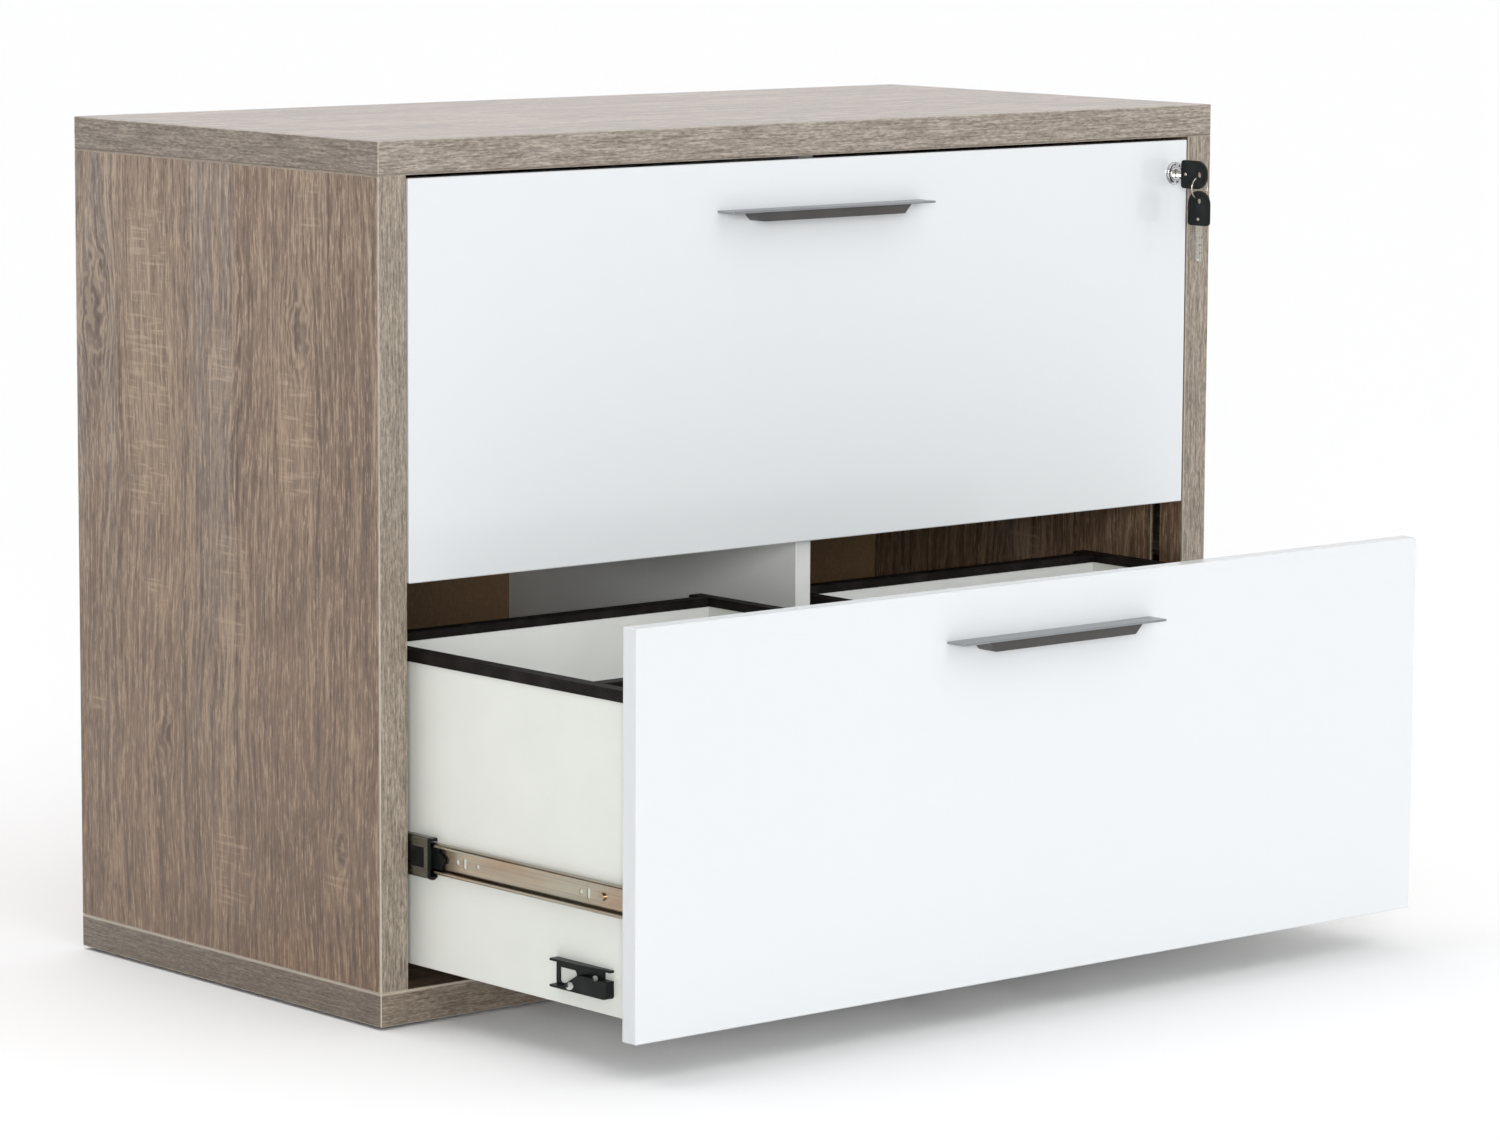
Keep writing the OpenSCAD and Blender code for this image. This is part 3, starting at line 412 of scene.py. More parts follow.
def bendRoundKnots(tree, knots, cross, grain, bent):
    knotDark, knotNear = 0.0, 0.0
    for knotAcross, knotAlong, knotSize in knots:
        offAcross = calc(tree, "SUBTRACT", cross, knotAcross)
        offAlong = calc(tree, "SUBTRACT", grain, knotAlong)
        squares = []
        for off, reach in ((offAcross, knotSize), (offAlong, knotSize * figure["knotLong"])):
            squares.append(calc(tree, "POWER", calc(tree, "ABSOLUTE", calc(tree, "DIVIDE", off, reach)), 2.0))
        far = calc(tree, "ADD", *squares)
        near = calc(tree, "EXPONENT", product(tree, far, figure["knotFall"]))
        bent = calc(tree, "ADD", bent, product(tree, near, offAcross, figure["knotPull"]))
        knotDark = calc(tree, "MAXIMUM", knotDark, fromTo(tree, far, *figure["knotHeart"]))
        knotNear = calc(tree, "MAXIMUM", knotNear, near)
    return bent, knotDark, knotNear


def plankStops(planks, look):  # planks with soft joints
    low, high = figure["plankSpan"]
    before, after = figure["jointSoft"]
    lastEnd, lastStart = figure["lastStops"]
    places = [(start - low) / (high - low) for tone, start in planks]
    stops = []
    for index, (tone, start) in enumerate(planks):
        stops.append((min(lastStart, places[index] + after) if index else 0.0, look[tone]))
        if index + 1 < len(planks):
            stops.append((min(lastEnd, places[index + 1] - before), look[tone]))
    return stops


def sawColumns(tree, columns, cross, grain):
    softAcross, softAlong = figure["sawSoft"]
    sawn = 0.0
    for middle, half, start, stop in columns:
        column = product(tree, within(tree, cross, middle, half, softAcross),
                         within(tree, grain, (start + stop) / 2, (stop - start) / 2, softAlong))
        sawn = calc(tree, "MAXIMUM", sawn, column)
    return sawn


def cornerLines(tree, color, look, place, size, lips):  # the thin pale line along each corner
    flat = calc(tree, "MAXIMUM", calc(tree, "MAXIMUM", size["X"], size["Y"]), size["Z"])
    worn = fromTo(tree, place[2], *figure["cornerWorn"])  # it shows more towards the floor
    corner = product(tree, fromTo(tree, flat, *figure["cornerSpan"]), worn)
    color = mixColor(tree, corner, color, look["corner"])
    for key, lipAt, tone, share in lips:  # the glue line where an edge band ends
        lip = within(tree, place["XYZ".index(key)], lipAt, *figure["lip"])
        lip = product(tree, lip, calc(tree, "LESS_THAN", size[key], figure["lipMost"]))
        color = mixColor(tree, product(tree, lip, share), color, look[tone])
    return color


def oakMaterial(name, look, axes, edges, grainOf, shift, lips, tint=None, strength=1.0, bandTint=None):
    material, tree, shader = newMaterial(name)
    source = addNode(tree, "ShaderNodeTexCoord")
    place = addNode(tree, "ShaderNodeSeparateXYZ", {0: source.outputs["Object"]}).outputs
    turned = addNode(tree, "ShaderNodeSeparateXYZ", {0: source.outputs["Normal"]}).outputs
    size = {key: calc(tree, "ABSOLUTE", turned["XYZ".index(key)]) for key in "XYZ"}
    along, across, face = axes
    onFace = calc(tree, "GREATER_THAN", size[face], figure["faceLeast"])
    grain, cross = place["XYZ".index(along)], place["XYZ".index(across)]
    for normal, (edgeAlong, edgeAcross) in edges.items():  # on a narrow edge the grain runs along the edge
        onEdge = calc(tree, "GREATER_THAN", size[normal], figure["edgeLeast"])
        edgeCross = calc(tree, "ADD", place["XYZ".index(edgeAcross)], figure["edgeShift"])
        grain = mixNumber(tree, onEdge, grain, place["XYZ".index(edgeAlong)])
        cross = mixNumber(tree, onEdge, cross, edgeCross)

    def streaks(kind, at):
        acrossScale, alongScale, seed, *rest = figure[kind]
        spot = vector(tree, product(tree, at, acrossScale), product(tree, grain, alongScale), shift + seed)
        return noise(tree, spot, 1.0, *rest)

    def twoLayers(first, second, share, at):
        under = product(tree, streaks(first, at), share)
        return total(tree, under, product(tree, streaks(second, at), 1 - share))

    def waved(at, share):
        return calc(tree, "ADD", at, product(tree, wave, share))

    wave = calc(tree, "SUBTRACT", streaks("wave", cross), 0.5)
    bendAt = waved(cross, figure["waveBend"])
    bent, knotDark, knotNear = bendRoundKnots(tree, grainOf["knots"], cross, grain, bendAt)

    joint = waved(cross, figure["waveJoint"])
    color = ramp(tree, fromTo(tree, joint, *figure["plankSpan"]), plankStops(grainOf["planks"], look))
    if "settle" in grainOf:
        color = stain(tree, color, look["brown"], grain, grainOf["settle"])
    cloud = streaks("cloud", bent)
    color = stain(tree, color, look["dark"], cloud, figure["cloudDark"])
    color = stain(tree, color, look["pale"], cloud, figure["cloudPale"])
    strands = streaks("strands", bent)
    color = stain(tree, color, look["pore"], strands, figure["strandDark"], strength=strength)
    color = stain(tree, color, look["fleck"], strands, figure["strandPale"], strength=strength)

    # growth lines, which bend round the knots
    rings = calc(tree, "SINE", product(tree, waved(bent, figure["waveRing"]), figure["ringScale"]))
    ringMask = fromTo(tree, streaks("ringPatches", cross), *figure["ringPatchSpan"])
    ringMask = calc(tree, "MAXIMUM", ringMask, knotNear)
    color = stain(tree, color, look["pore"], rings, figure["ringDark"], ringMask)
    color = stain(tree, color, look["fleck"], rings, figure["ringPale"], ringMask)

    # dark lines where planks meet
    for lineAcross, lineAlong, lineReach in grainOf["lines"]:
        line = within(tree, joint, lineAcross, *figure["line"])
        line = product(tree, line, within(tree, grain, lineAlong, lineReach, figure["lineFade"]))
        color = mixColor(tree, product(tree, line, figure["lineShare"]), color, look["pore"])

    # fine pores and pale flecks along the grain
    fine = twoLayers("pores", "hairs", figure["poreLayer"], bent)
    pores = fromTo(tree, fine, *figure["poreSpan"])
    flecks = fromTo(tree, fine, *figure["fleckSpan"])
    color = mixColor(tree, product(tree, pores, figure["poreShare"] * strength), color, look["pore"])
    color = mixColor(tree, product(tree, flecks, figure["fleckShare"] * strength), color, look["fleck"])

    # columns of saw marks: short pale ticks across the grain
    sawn = sawColumns(tree, grainOf["saw"], cross, grain)
    ticks = fromTo(tree, streaks("ticks", cross), *figure["tickSpan"])
    ticks = product(tree, ticks, fromTo(tree, fine, *figure["tickThrough"]))
    sawTicks = product(tree, sawn, ticks, onFace)
    color = mixColor(tree, product(tree, sawn, onFace, figure["sawShare"]), color, look["fleck"])
    color = mixColor(tree, product(tree, sawTicks, figure["tickShare"]), color, look["fleck"])

    # swirls in and round the knots
    swirled = calc(tree, "ADD", bent, product(tree, streaks("swirl", cross), figure["swirlBend"]))
    swirl = calc(tree, "SINE", product(tree, swirled, figure["swirlScale"]))
    color = stain(tree, color, look["pore"], swirl, figure["swirlDark"], knotNear, onFace)
    color = stain(tree, color, look["fleck"], swirl, figure["swirlPale"], knotNear, onFace)
    color = mixColor(tree, product(tree, knotDark, onFace, figure["knotShare"]), color, look["pore"])
    # painted shade: the colour is darkened towards the floor
    if "paintedFalloff" in grainOf:
        start, stop, falloffTint = grainOf["paintedFalloff"]
        color = mixColor(tree, fromTo(tree, grain, start, stop), color, tinted(tree, color, falloffTint))

    # the edge bands are greyer, with longer and finer streaks
    bandFine = twoLayers("bandPores", "bandHairs", figure["bandLayer"], cross)
    band = stain(tree, look["band"], look["bandPore"], bandFine, figure["bandDark"])
    band = stain(tree, band, look["bandFleck"], bandFine, figure["bandPale"])
    # painted shade: on a panel lying flat, the bands on its short ends are darkened
    if face == "Z":
        onEnd = calc(tree, "GREATER_THAN", size["X"], figure["faceLeast"])
        band = mixColor(tree, onEnd, band, tinted(tree, band, look["endPaintedShade"]))
    if tint:
        color = tinted(tree, color, tint)
        band = tinted(tree, band, bandTint or tint)
    color = mixColor(tree, onFace, band, color)
    color = cornerLines(tree, color, look, place, size, lips)

    tree.links.new(color, shader.inputs["Base Color"])
    varyRoughness(tree, shader, fine, figure["roughSpan"], look["roughness"], figure["roughSpread"])
    shader.inputs["Specular IOR Level"].default_value = look["specular"]
    shader.inputs["Coat Weight"].default_value = look["coat"]
    shader.inputs["Coat Roughness"].default_value = look["coatRoughness"]
    shader.inputs["Coat IOR"].default_value = look["coatIor"]
    parts = [product(tree, part, share) for part, share in zip((flecks, sawTicks, pores), figure["heights"])]
    addBump(tree, shader, total(tree, *parts), *figure["bump"])
    return material


boardLook = {
    "cloud": (14.0, 4.0),  # noises: scale and detail
    "cloudSpan": (0.35, 0.65),
    "grit": (900.0, 2.0),
    "gritSpan": (0.2, 0.8),
    "roughSpread": (-0.06, 0.06),
    "bump": (0.06, 0.0002),
}


def boardMaterial(name, color, roughness, mottle=0.04, look=boardLook):
    material, tree, shader = newMaterial(name)
    place = objectPlace(tree)
    cloud = fromTo(tree, noise(tree, place, *look["cloud"]), *look["cloudSpan"])
    grit = noise(tree, place, *look["grit"])
    tree.links.new(mixColor(tree, cloud, color, dimmed(color, 1 - mottle)), shader.inputs["Base Color"])
    varyRoughness(tree, shader, grit, look["gritSpan"], roughness, look["roughSpread"])
    addBump(tree, shader, grit, *look["bump"])
    return material


fibreLook = {
    "turn": (0, 0.8, 0),  # half of the fibres lie turned
    "long": (900, 900, 260),
    "short": (260, 900, 900),
    "fibre": (1.0, 3.0, 0.6),
    "cloud": (5.0, 3.0),
    "cloudStain": (0.35, 0.65, 0.10),
    "paleStain": (0.52, 0.70, 0.55),
    "darkStain": (0.54, 0.72, 0.55),
    "roughness": 0.62,
    "bump": (0.15, 0.0003),
}


def fibreMaterial(name, color, paleFibre, darkFibre, look=fibreLook):  # hardboard: fibres lying every way
    material, tree, shader = newMaterial(name)
    place = objectPlace(tree)
    turnedPlace = addNode(tree, "ShaderNodeMapping", {0: place, "Rotation": look["turn"]}).outputs[0]
    flat = noise(tree, scaled(tree, place, look["long"]), *look["fibre"])
    crossed = noise(tree, scaled(tree, turnedPlace, look["short"]), *look["fibre"])
    tone = stain(tree, color, darkFibre, noise(tree, place, *look["cloud"]), look["cloudStain"])
    tone = stain(tree, tone, paleFibre, flat, look["paleStain"])
    tone = stain(tree, tone, darkFibre, crossed, look["darkStain"])
    tree.links.new(tone, shader.inputs["Base Color"])
    shader.inputs["Roughness"].default_value = look["roughness"]
    addBump(tree, shader, calc(tree, "SUBTRACT", flat, crossed), *look["bump"])
    return material


glossLook = {
    "cloud": (3.0, 2.0),
    "dim": 0.985,
    "roughness": 0.16,
    "coat": 0.35,
    "coatRoughness": 0.05,
    "peel": (220.0, 1.0),  # slight orange peel
    "bump": (0.02, 0.0002),
}


def glossMaterial(name, color, look=glossLook):
    material, tree, shader = newMaterial(name)
    place = objectPlace(tree)
    cloud = noise(tree, place, *look["cloud"])
    tree.links.new(mixColor(tree, cloud, color, dimmed(color, look["dim"])), shader.inputs["Base Color"])
    shader.inputs["Roughness"].default_value = look["roughness"]
    shader.inputs["Coat Weight"].default_value = look["coat"]
    shader.inputs["Coat Roughness"].default_value = look["coatRoughness"]
    addBump(tree, shader, noise(tree, place, *look["peel"]), *look["bump"])
    return material


metalLook = {
    "brushed": (1.0, 3.0),
    "patches": (1.0, 4.0),
    "patchScale": (30, 12, 30),
    "patchSpan": (0.35, 0.68),
    "dim": 0.86,
    "scratch": (0.1, 0.1, 0.1, 1),
    "scratchStain": (0.35, 0.75, 0.25),
    "roughSpan": (0.25, 0.75),
    "roughSpread": (-0.08, 0.10),
    "bump": (0.08, 0.0001),
}


def metalMaterial(name, color, roughness, brush=(260, 260, 260), patchColor=None, look=metalLook):
    material, tree, shader = newMaterial(name)
    place = objectPlace(tree)
    brushed = noise(tree, scaled(tree, place, brush), *look["brushed"])
    patches = noise(tree, scaled(tree, place, look["patchScale"]), *look["patches"])
    patchTint = patchColor or dimmed(color, look["dim"])
    base = mixColor(tree, fromTo(tree, patches, *look["patchSpan"]), color, patchTint)
    base = stain(tree, base, look["scratch"], brushed, look["scratchStain"])
    tree.links.new(base, shader.inputs["Base Color"])
    shader.inputs["Metallic"].default_value = 1.0
    varyRoughness(tree, shader, brushed, look["roughSpan"], roughness, look["roughSpread"])
    addBump(tree, shader, brushed, *look["bump"])
    return material


plasticLook = {
    "grain": (1300.0, 2.0),
    "wear": (40.0, 4.0),
    "wearSpan": (0.45, 0.75),
    "worn": (1.6, 0.006),  # worn plastic is this much paler
    "roughSpan": (0.3, 0.7),
    "roughSpread": (-0.07, 0.07),
    "bump": (0.12, 0.0002),
}


def plasticMaterial(name, color, roughness, shine, look=plasticLook):
    material, tree, shader = newMaterial(name)
    place = objectPlace(tree)
    grain = noise(tree, place, *look["grain"])
    wear = fromTo(tree, noise(tree, place, *look["wear"]), *look["wearSpan"])
    times, more = look["worn"]
    paler = tuple(min(1, channel * times + more) for channel in color[:3]) + (1,)
    tree.links.new(mixColor(tree, wear, color, paler), shader.inputs["Base Color"])
    varyRoughness(tree, shader, grain, look["roughSpan"], roughness, look["roughSpread"])
    shader.inputs["Specular IOR Level"].default_value = shine
    addBump(tree, shader, grain, *look["bump"])
    return material


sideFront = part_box("left_side_panel")[0][1]
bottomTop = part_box("bottom_panel")[1][2]
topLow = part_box("top_panel")[0][2]
glueIn, poreIn = 0.0012, 0.0008  # how far a glue line and a dark line lie in from the edge
sideLips = [("Y", sideFront + glueIn, "corner", 0.45)]
bottomLips = [("Z", bottomTop - glueIn, "corner", 0.62)]
topLips = [("Z", topLow + poreIn, "pore", 0.65)]
sideEdges = {"Y": ("Z", "X")}
flatEdges = {"Y": ("X", "Z"), "X": ("Y", "Z")}
alongX, alongY = (8, 900, 900), (900, 8, 900)  # brushed this way
# painted shade: the bottom panel's tint darkens and browns it, for the shade near the floor
topTint, topBand, bottomPaintedShade = (1.05, 0.985, 0.92, 1), (1.06, 1.09, 1.15, 1), (0.76, 0.73, 0.70, 1)
topGrain, bottomGrain = drawnGrain(4, 14, drawnLook), drawnGrain(9, 8, drawnLook)
finishes = {
    "sideOak": oakMaterial("sideOak", oak, "ZYX", sideEdges, sideGrain, 0.3, sideLips),
    "topOak": oakMaterial("topOak", oak, "XYZ", flatEdges, topGrain, 1.7, topLips, topTint, 1.2, topBand),
    "bottomOak": oakMaterial("bottomOak", oak, "XYZ", flatEdges, bottomGrain, 2.9, bottomLips, bottomPaintedShade),
    "backBoard": fibreMaterial("backBoard", srgb(146, 116, 86), srgb(178, 150, 118), srgb(112, 84, 60)),
    "whiteBoard": boardMaterial("whiteBoard", srgb(226, 227, 224), 0.5),
    "boxBoard": boardMaterial("boxBoard", srgb(224, 226, 219), 0.5),
    # painted light: a paler copy of the box board, for the shaded insides of the drawer boxes
    "boxBoardPaintedLight": boardMaterial("boxBoardPaintedLight", srgb(240, 241, 238), 0.45),
    "rawBoard": boardMaterial("rawBoard", (0.52, 0.38, 0.22, 1), 0.75, 0.25),
    "glossWhite": glossMaterial("glossWhite", (0.68, 0.70, 0.715, 1)),
    # painted reflection: the brown patches on the zinc stand for the warm surroundings reflected in it
    "zincSteel": metalMaterial("zincSteel", (0.43, 0.42, 0.34, 1), 0.20, alongY, (0.40, 0.29, 0.20, 1)),
    "dullZinc": metalMaterial("dullZinc", (0.30, 0.31, 0.28, 1), 0.30, alongY, (0.24, 0.24, 0.20, 1)),
    "anodised": metalMaterial("anodised", (0.105, 0.100, 0.095, 1), 0.34, alongX),
    # painted reflection: a paler copy of the handle metal, for the handle's top plate reflecting the bright
    # sky
    "handlePlatePaintedSheen": metalMaterial("handlePlatePaintedSheen", (0.34, 0.355, 0.37, 1), 0.30, alongX),
    "lockChrome": metalMaterial("lockChrome", (0.62, 0.62, 0.64, 1), 0.14),
    "lockShade": metalMaterial("lockShade", (0.10, 0.10, 0.11, 1), 0.30),
    "nickel": metalMaterial("nickel", (0.56, 0.54, 0.47, 1), 0.24, alongY),
    "blackPlastic": plasticMaterial("blackPlastic", (0.008, 0.009, 0.009, 1), 0.36, 0.13),
    "fileRailPlastic": plasticMaterial("fileRailPlastic", (0.012, 0.010, 0.009, 1), 0.5, 0.06),
}

dressed = {
    "left_side_panel": "sideOak", "right_side_panel": "sideOak",
    "top_panel": "topOak", "bottom_panel": "bottomOak",
    "centre_divider": "whiteBoard", "back_panel": "backBoard",
    "divider_packers": "rawBoard", "carcass_dowels": "rawBoard",
    "floor_glides": "blackPlastic",
    "lock_housing": "lockChrome", "lock_plug": "lockChrome",
    "key": "blackPlastic", "spare_key": "blackPlastic", "key_ring": "nickel",
}


def finishOf(node):
    if node in dressed:
        return dressed[node]
    # painted light: box bottoms and walls get the paler copy of the box board
    if "box_bottoms" in node or "box_walls" in node:
        return "boxBoardPaintedLight"
    if "box_" in node:
        return "boxBoard"
    if "file_rails" in node:
        return "fileRailPlastic"
    if node.endswith("_front"):
        return "glossWhite"
    if node.endswith("_handle"):
        return "anodised"
    if "middle_rails" in node or "cabinet_rails" in node:
        return "dullZinc"
    if "bumpers" in node or "levers" in node or "catches" in node:
        return "blackPlastic"
    return "zincSteel"


def dressNode(node, material):
    mesh = nodes[node].data
    mesh.materials.clear()
    mesh.materials.append(material)


for node in nodes:
    dressNode(node, finishes[finishOf(node)])
print("finishes on", len(nodes), "pieces")


# Modelling helpers

smoothAngle = 35
weld = 0.00001  # points closer than this become one
nearly = 0.0001


def finishUp(piece, name, body, slot, *replaced):
    bpy.ops.object.mode_set(mode="OBJECT")
    bpy.ops.object.select_all(action="DESELECT")
    piece.select_set(True)
    bpy.context.view_layer.objects.active = piece
    bpy.ops.object.shade_smooth_by_angle(angle=math.radians(smoothAngle))
    piece.name = name
    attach(piece, body)
    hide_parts(*replaced)


def copyOf(piece, way):  # a copy with its own mesh, put in place
    mesh = piece.data.copy()
    mesh.transform(way)
    made = bpy.data.objects.new(piece.name, mesh)
    bpy.context.scene.collection.objects.link(made)
    return made


def startBox(low, high):
    bpy.ops.object.select_all(action="DESELECT")
    middle = [(a + b) / 2 for a, b in zip(low, high)]
    bpy.ops.mesh.primitive_cube_add(size=1, location=middle, scale=[b - a for a, b in zip(low, high)])
    bpy.ops.object.transform_apply(location=True, rotation=True, scale=True)
    return bpy.context.object


def choose(piece, kind, wanted):  # selects the edges or faces that wanted() says yes to
    bpy.ops.object.mode_set(mode="EDIT")
    bpy.ops.mesh.select_mode(type=kind)
    bpy.ops.mesh.select_all(action="DESELECT")
    bpy.ops.object.mode_set(mode="OBJECT")
    mesh = piece.data
    if kind == "EDGE":
        for edge in mesh.edges:
            edge.select = wanted(*(mesh.vertices[index].co for index in edge.vertices))
    else:
        for polygon in mesh.polygons:
            polygon.select = wanted(polygon.center, polygon.normal)
    bpy.ops.object.mode_set(mode="EDIT")


def applyBevel(piece, width, segments=2, angle=40):
    bpy.ops.object.mode_set(mode="OBJECT")
    bevel = piece.modifiers.new("softEdges", "BEVEL")
    bevel.width, bevel.segments = width, segments
    bevel.limit_method, bevel.angle_limit = "ANGLE", math.radians(angle)
    bpy.ops.object.modifier_apply(modifier=bevel.name)


def cutHole(piece, place, radius, turn, depth=0.02):
    bpy.ops.object.select_all(action="DESELECT")
    bpy.ops.mesh.primitive_cylinder_add(vertices=32, radius=radius, depth=depth,
                                        location=place, rotation=turn)
    cutter = bpy.context.object
    bpy.context.view_layer.objects.active = piece
    cut = piece.modifiers.new("hole", "BOOLEAN")
    cut.operation, cut.solver, cut.object = "DIFFERENCE", "EXACT", cutter
    bpy.ops.object.modifier_apply(modifier=cut.name)
    bpy.data.objects.remove(cutter)


def throughX(a, b):  # an edge that runs through the thickness
    return abs(a.x - b.x) > 0.001


def joinPieces(pieces):
    bpy.ops.object.select_all(action="DESELECT")
    for piece in pieces:
        piece.select_set(True)
    bpy.context.view_layer.objects.active = pieces[0]
    bpy.ops.object.join()
    return bpy.context.object


acrossX = (0, math.radians(90), 0)
keyLow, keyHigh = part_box("key")
lockLow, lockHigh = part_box("lock_housing")
lockX = (lockLow[0] + lockHigh[0]) / 2
lockZ = (lockLow[2] + lockHigh[2]) / 2

keyLook = {
    "headLong": 0.033,
    "farCorner": 0.0126,
    "nearCorner": 0.0035,
    "rimWide": 0.0022,
    "recess": 0.0004,
    "headSoft": 0.00025,
    "eye": (0.0095, 0.003),  # from the far end, radius
    "rivet": (0.0270, 0.0016),  # from the far end, radius
    "rivetSoft": 0.0004,
    "bladeHigh": 0.0062,
    "bladeThick": 0.0022,
    "bladeIn": 0.002,  # how far the blade reaches into the head
    "bladeSoft": 0.0002,
    "cuts": [0.0016, 0.0006, 0.0022, 0.0010, 0.0018, 0.0004],  # how deep the blade is cut
    "cutsSpan": (0.009, 0.003),  # where the cuts start behind the head, and end before the tip
    "groove": (0.0016, 0.0004),  # its distance from the rim, and its depth
    "tip": 0.0022,
}


def makeKey(look):
    headEnd = keyLow[1] + look["headLong"]
    head = startBox(keyLow, (keyHigh[0], headEnd, keyHigh[2]))
    choose(head, "EDGE", lambda a, b: throughX(a, b) and a.y < headEnd - nearly)
    bpy.ops.mesh.bevel(offset=look["farCorner"], segments=10, affect="EDGES")
    choose(head, "EDGE", lambda a, b: throughX(a, b) and min(a.y, b.y) > headEnd - nearly)
    bpy.ops.mesh.bevel(offset=look["nearCorner"], segments=5, affect="EDGES")
    choose(head, "FACE", lambda center, normal: abs(normal.x) > 0.9)
    bpy.ops.mesh.inset(thickness=look["rimWide"], depth=-look["recess"])
    bpy.ops.object.mode_set(mode="OBJECT")
    eye = (lockX, keyLow[1] + look["eye"][0], lockZ)
    cutHole(head, eye, look["eye"][1], acrossX)
    applyBevel(head, look["headSoft"], 2, 50)
    head.data.materials.append(finishes["blackPlastic"])

    rivetPlace = (lockX, keyLow[1] + look["rivet"][0], lockZ)
    bpy.ops.object.select_all(action="DESELECT")
    thick = keyHigh[0] - keyLow[0]
    bpy.ops.mesh.primitive_cylinder_add(vertices=24, radius=look["rivet"][1], depth=thick,
                                        location=rivetPlace, rotation=acrossX)
    rivet = bpy.context.object
    bpy.ops.object.transform_apply(location=True, rotation=True, scale=True)
    applyBevel(rivet, look["rivetSoft"], 3, 60)
    rivet.data.materials.append(finishes["nickel"])

    halfThick, halfHigh = look["bladeThick"] / 2, look["bladeHigh"] / 2
    blade = startBox((lockX - halfThick, headEnd - look["bladeIn"], lockZ - halfHigh),
                     (lockX + halfThick, keyHigh[1], lockZ + halfHigh))
    steps = len(look["cuts"]) * 2
    start, stop = headEnd + look["cutsSpan"][0], keyHigh[1] - look["cutsSpan"][1]
    bpy.ops.object.mode_set(mode="EDIT")
    for step in range(steps + 1):
        bpy.ops.mesh.select_all(action="SELECT")
        cutAt = start + (stop - start) * step / steps
        bpy.ops.mesh.bisect(plane_co=(lockX, cutAt, lockZ), plane_no=(0, 1, 0))
    for index, deep in enumerate(look["cuts"]):
        cutAt = start + (stop - start) * (2 * index + 1) / steps
        choose(blade, "EDGE", lambda a, b: max(abs(a.y - cutAt), abs(b.y - cutAt)) < nearly
               and max(a.z, b.z) < lockZ)
        bpy.ops.transform.translate(value=(0, 0, deep))
    choose(blade, "EDGE", lambda a, b: throughX(a, b) and min(a.y, b.y) > keyHigh[1] - nearly)
    bpy.ops.mesh.bevel(offset=look["tip"], segments=3, affect="EDGES")
    choose(blade, "FACE", lambda center, normal: abs(normal.x) > 0.9)
    grooveRim, grooveDeep = look["groove"]
    bpy.ops.mesh.inset(thickness=grooveRim, depth=-grooveDeep, use_boundary=True)
    applyBevel(blade, look["bladeSoft"], 1, 60)
    blade.data.materials.append(finishes["nickel"])
    return joinPieces([head, rivet, blade]), eye


lockKey, eyePlace = makeKey(keyLook)
spareLow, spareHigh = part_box("spare_key")
spareEye = Vector((lockX, (spareLow[1] + spareHigh[1]) / 2, spareHigh[2] - keyLook["eye"][0]))
hangingDown = Matrix.Rotation(math.radians(-90), 4, "X")
hang = Matrix.Translation(spareEye) @ hangingDown @ Matrix.Translation(-Vector(eyePlace))
spareKey = copyOf(lockKey, hang)
finishUp(lockKey, "keyInLock", "lock_plug", "key_plastic", "key")
finishUp(spareKey, "keyOnRing", "spare_key", "key_plastic", "spare_key")
print("keys modelled,", len(lockKey.data.polygons), "faces each")


rosetteLook = {
    "points": 48,  # round the rim
    "bore": 0.00605,
    "rings": [  # radius and depth behind the face, from the bore outwards
        (0.00605, 0.0012), (0.00660, 0.0007), (0.00740, 0.0007), (0.00770, 0.0000), (0.00960, 0.0000),
        (0.01035, 0.0003), (0.01085, 0.0009), (0.01100, 0.0016), (0.01100, 0.0030), (0.00900, 0.0030),
        (0.00900, 0.0270),
    ],
    "notchEvery": 6,  # faces of the rim from one notch to the next
    "notchWide": 3,
    "notchSpan": (0.0077, 0.0096),  # from radius to radius
    "notchRim": 0.0003,
    "notchDeep": 0.0005,
}


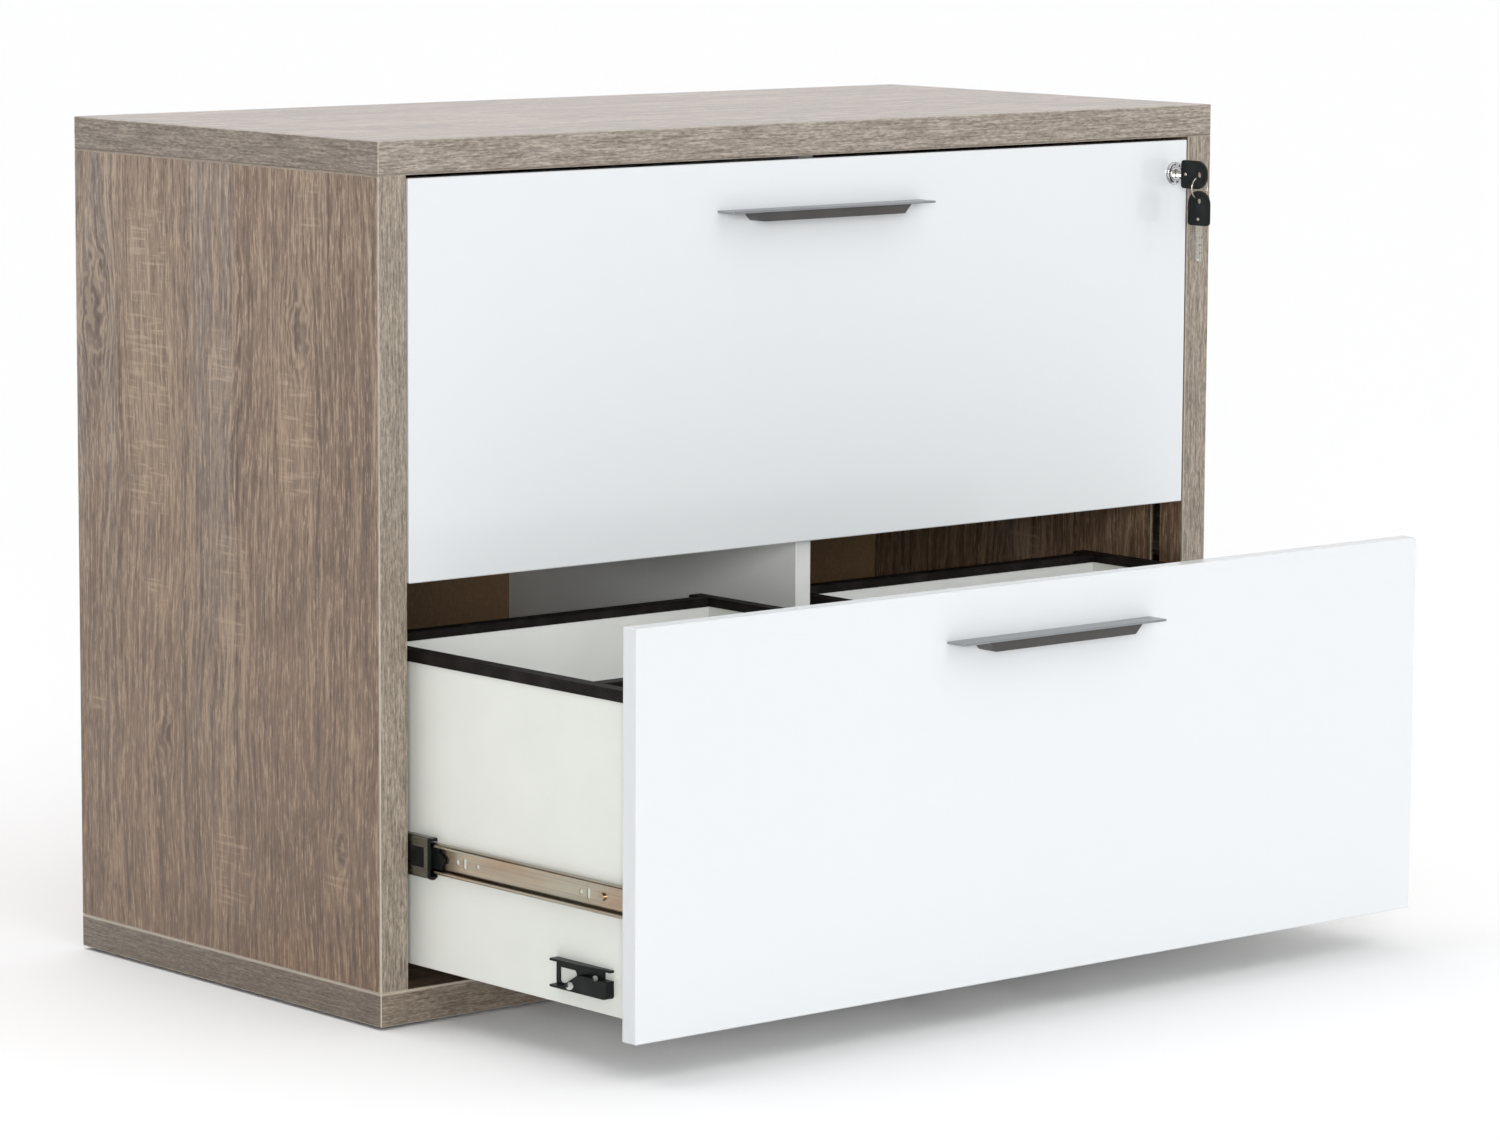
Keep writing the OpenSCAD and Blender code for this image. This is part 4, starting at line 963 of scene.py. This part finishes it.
def makeRosette(look):
    faceY = lockLow[1]
    center = (lockX, faceY, lockZ)
    bpy.ops.object.select_all(action="DESELECT")
    bpy.ops.mesh.primitive_circle_add(vertices=look["points"], radius=look["bore"],
                                      rotation=(math.radians(90), 0, 0), location=(lockX, lockHigh[1], lockZ))
    bpy.ops.object.transform_apply(location=True, rotation=True, scale=True)
    rosette = bpy.context.object
    bpy.ops.object.mode_set(mode="EDIT")
    bpy.ops.mesh.select_all(action="SELECT")
    radius, y = look["bore"], lockHigh[1]
    for nextRadius, back in look["rings"]:
        wide = nextRadius / radius
        bpy.ops.mesh.extrude_edges_move(TRANSFORM_OT_translate={"value": (0, faceY + back - y, 0)})
        bpy.ops.transform.resize(value=(wide, 1, wide), center_override=center)
        radius, y = nextRadius, faceY + back
    choose(rosette, "EDGE", lambda a, b: min(a.y, b.y) > lockHigh[1] - weld)
    bpy.ops.mesh.bridge_edge_loops()
    bpy.ops.mesh.select_all(action="SELECT")
    bpy.ops.mesh.remove_doubles(threshold=weld)
    bpy.ops.mesh.normals_make_consistent(inside=False)

    def inNotch(point, normal):
        away = math.hypot(point.x - lockX, point.z - lockZ)
        sector = (math.atan2(point.z - lockZ, point.x - lockX) / (2 * math.pi) + 1) * look["points"]
        inner, outer = look["notchSpan"]
        onFace = inner < away < outer and normal.y < -0.99
        return onFace and int(sector) % look["notchEvery"] < look["notchWide"]

    choose(rosette, "FACE", inNotch)
    bpy.ops.mesh.inset(thickness=look["notchRim"], depth=-look["notchDeep"])
    bpy.ops.object.mode_set(mode="OBJECT")
    rosette.data.materials.append(finishes["lockChrome"])
    rosette.data.materials.append(finishes["lockShade"])
    for polygon in rosette.data.polygons:
        if polygon.select:
            polygon.material_index = 1
    return rosette


rosette = makeRosette(rosetteLook)
finishUp(rosette, "lockRosette", "upper_drawer", "lock_chrome", "lock_housing")
print("lock rosette modelled,", len(rosette.data.polygons), "faces")


handleLook = {"soft": 0.0005, "steps": 3, "plateThick": 0.00195}


def softCopy(node, look):  # the CAD shape with its edges rounded over
    bpy.ops.object.select_all(action="DESELECT")
    piece = copyOf(nodes[node], Matrix.Identity(4))
    piece.select_set(True)
    bpy.context.view_layer.objects.active = piece
    bpy.ops.object.mode_set(mode="EDIT")
    bpy.ops.mesh.select_all(action="SELECT")
    bpy.ops.mesh.remove_doubles(threshold=weld)
    bpy.ops.mesh.dissolve_limited(angle_limit=math.radians(1))
    applyBevel(piece, look["soft"], look["steps"], 30)
    return piece


def twoTone(piece, finish, wanted):  # the faces that wanted() says yes to get a second finish
    piece.data.materials.append(finishes[finish])
    for polygon in piece.data.polygons:
        if wanted(polygon.center, polygon.normal):
            polygon.material_index = len(piece.data.materials) - 1


for drawer in ("upper", "lower"):
    handle = softCopy(drawer + "_handle", handleLook)
    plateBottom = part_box(drawer + "_handle")[1][2] - handleLook["plateThick"]
    # painted reflection: the top plate gets the paler copy of the handle metal
    twoTone(handle, "handlePlatePaintedSheen", lambda center, normal: center.z > plateBottom)
    finishUp(handle, drawer + "HandleSoft", drawer + "_drawer", "handle_metal", drawer + "_handle")
print("handles softened")
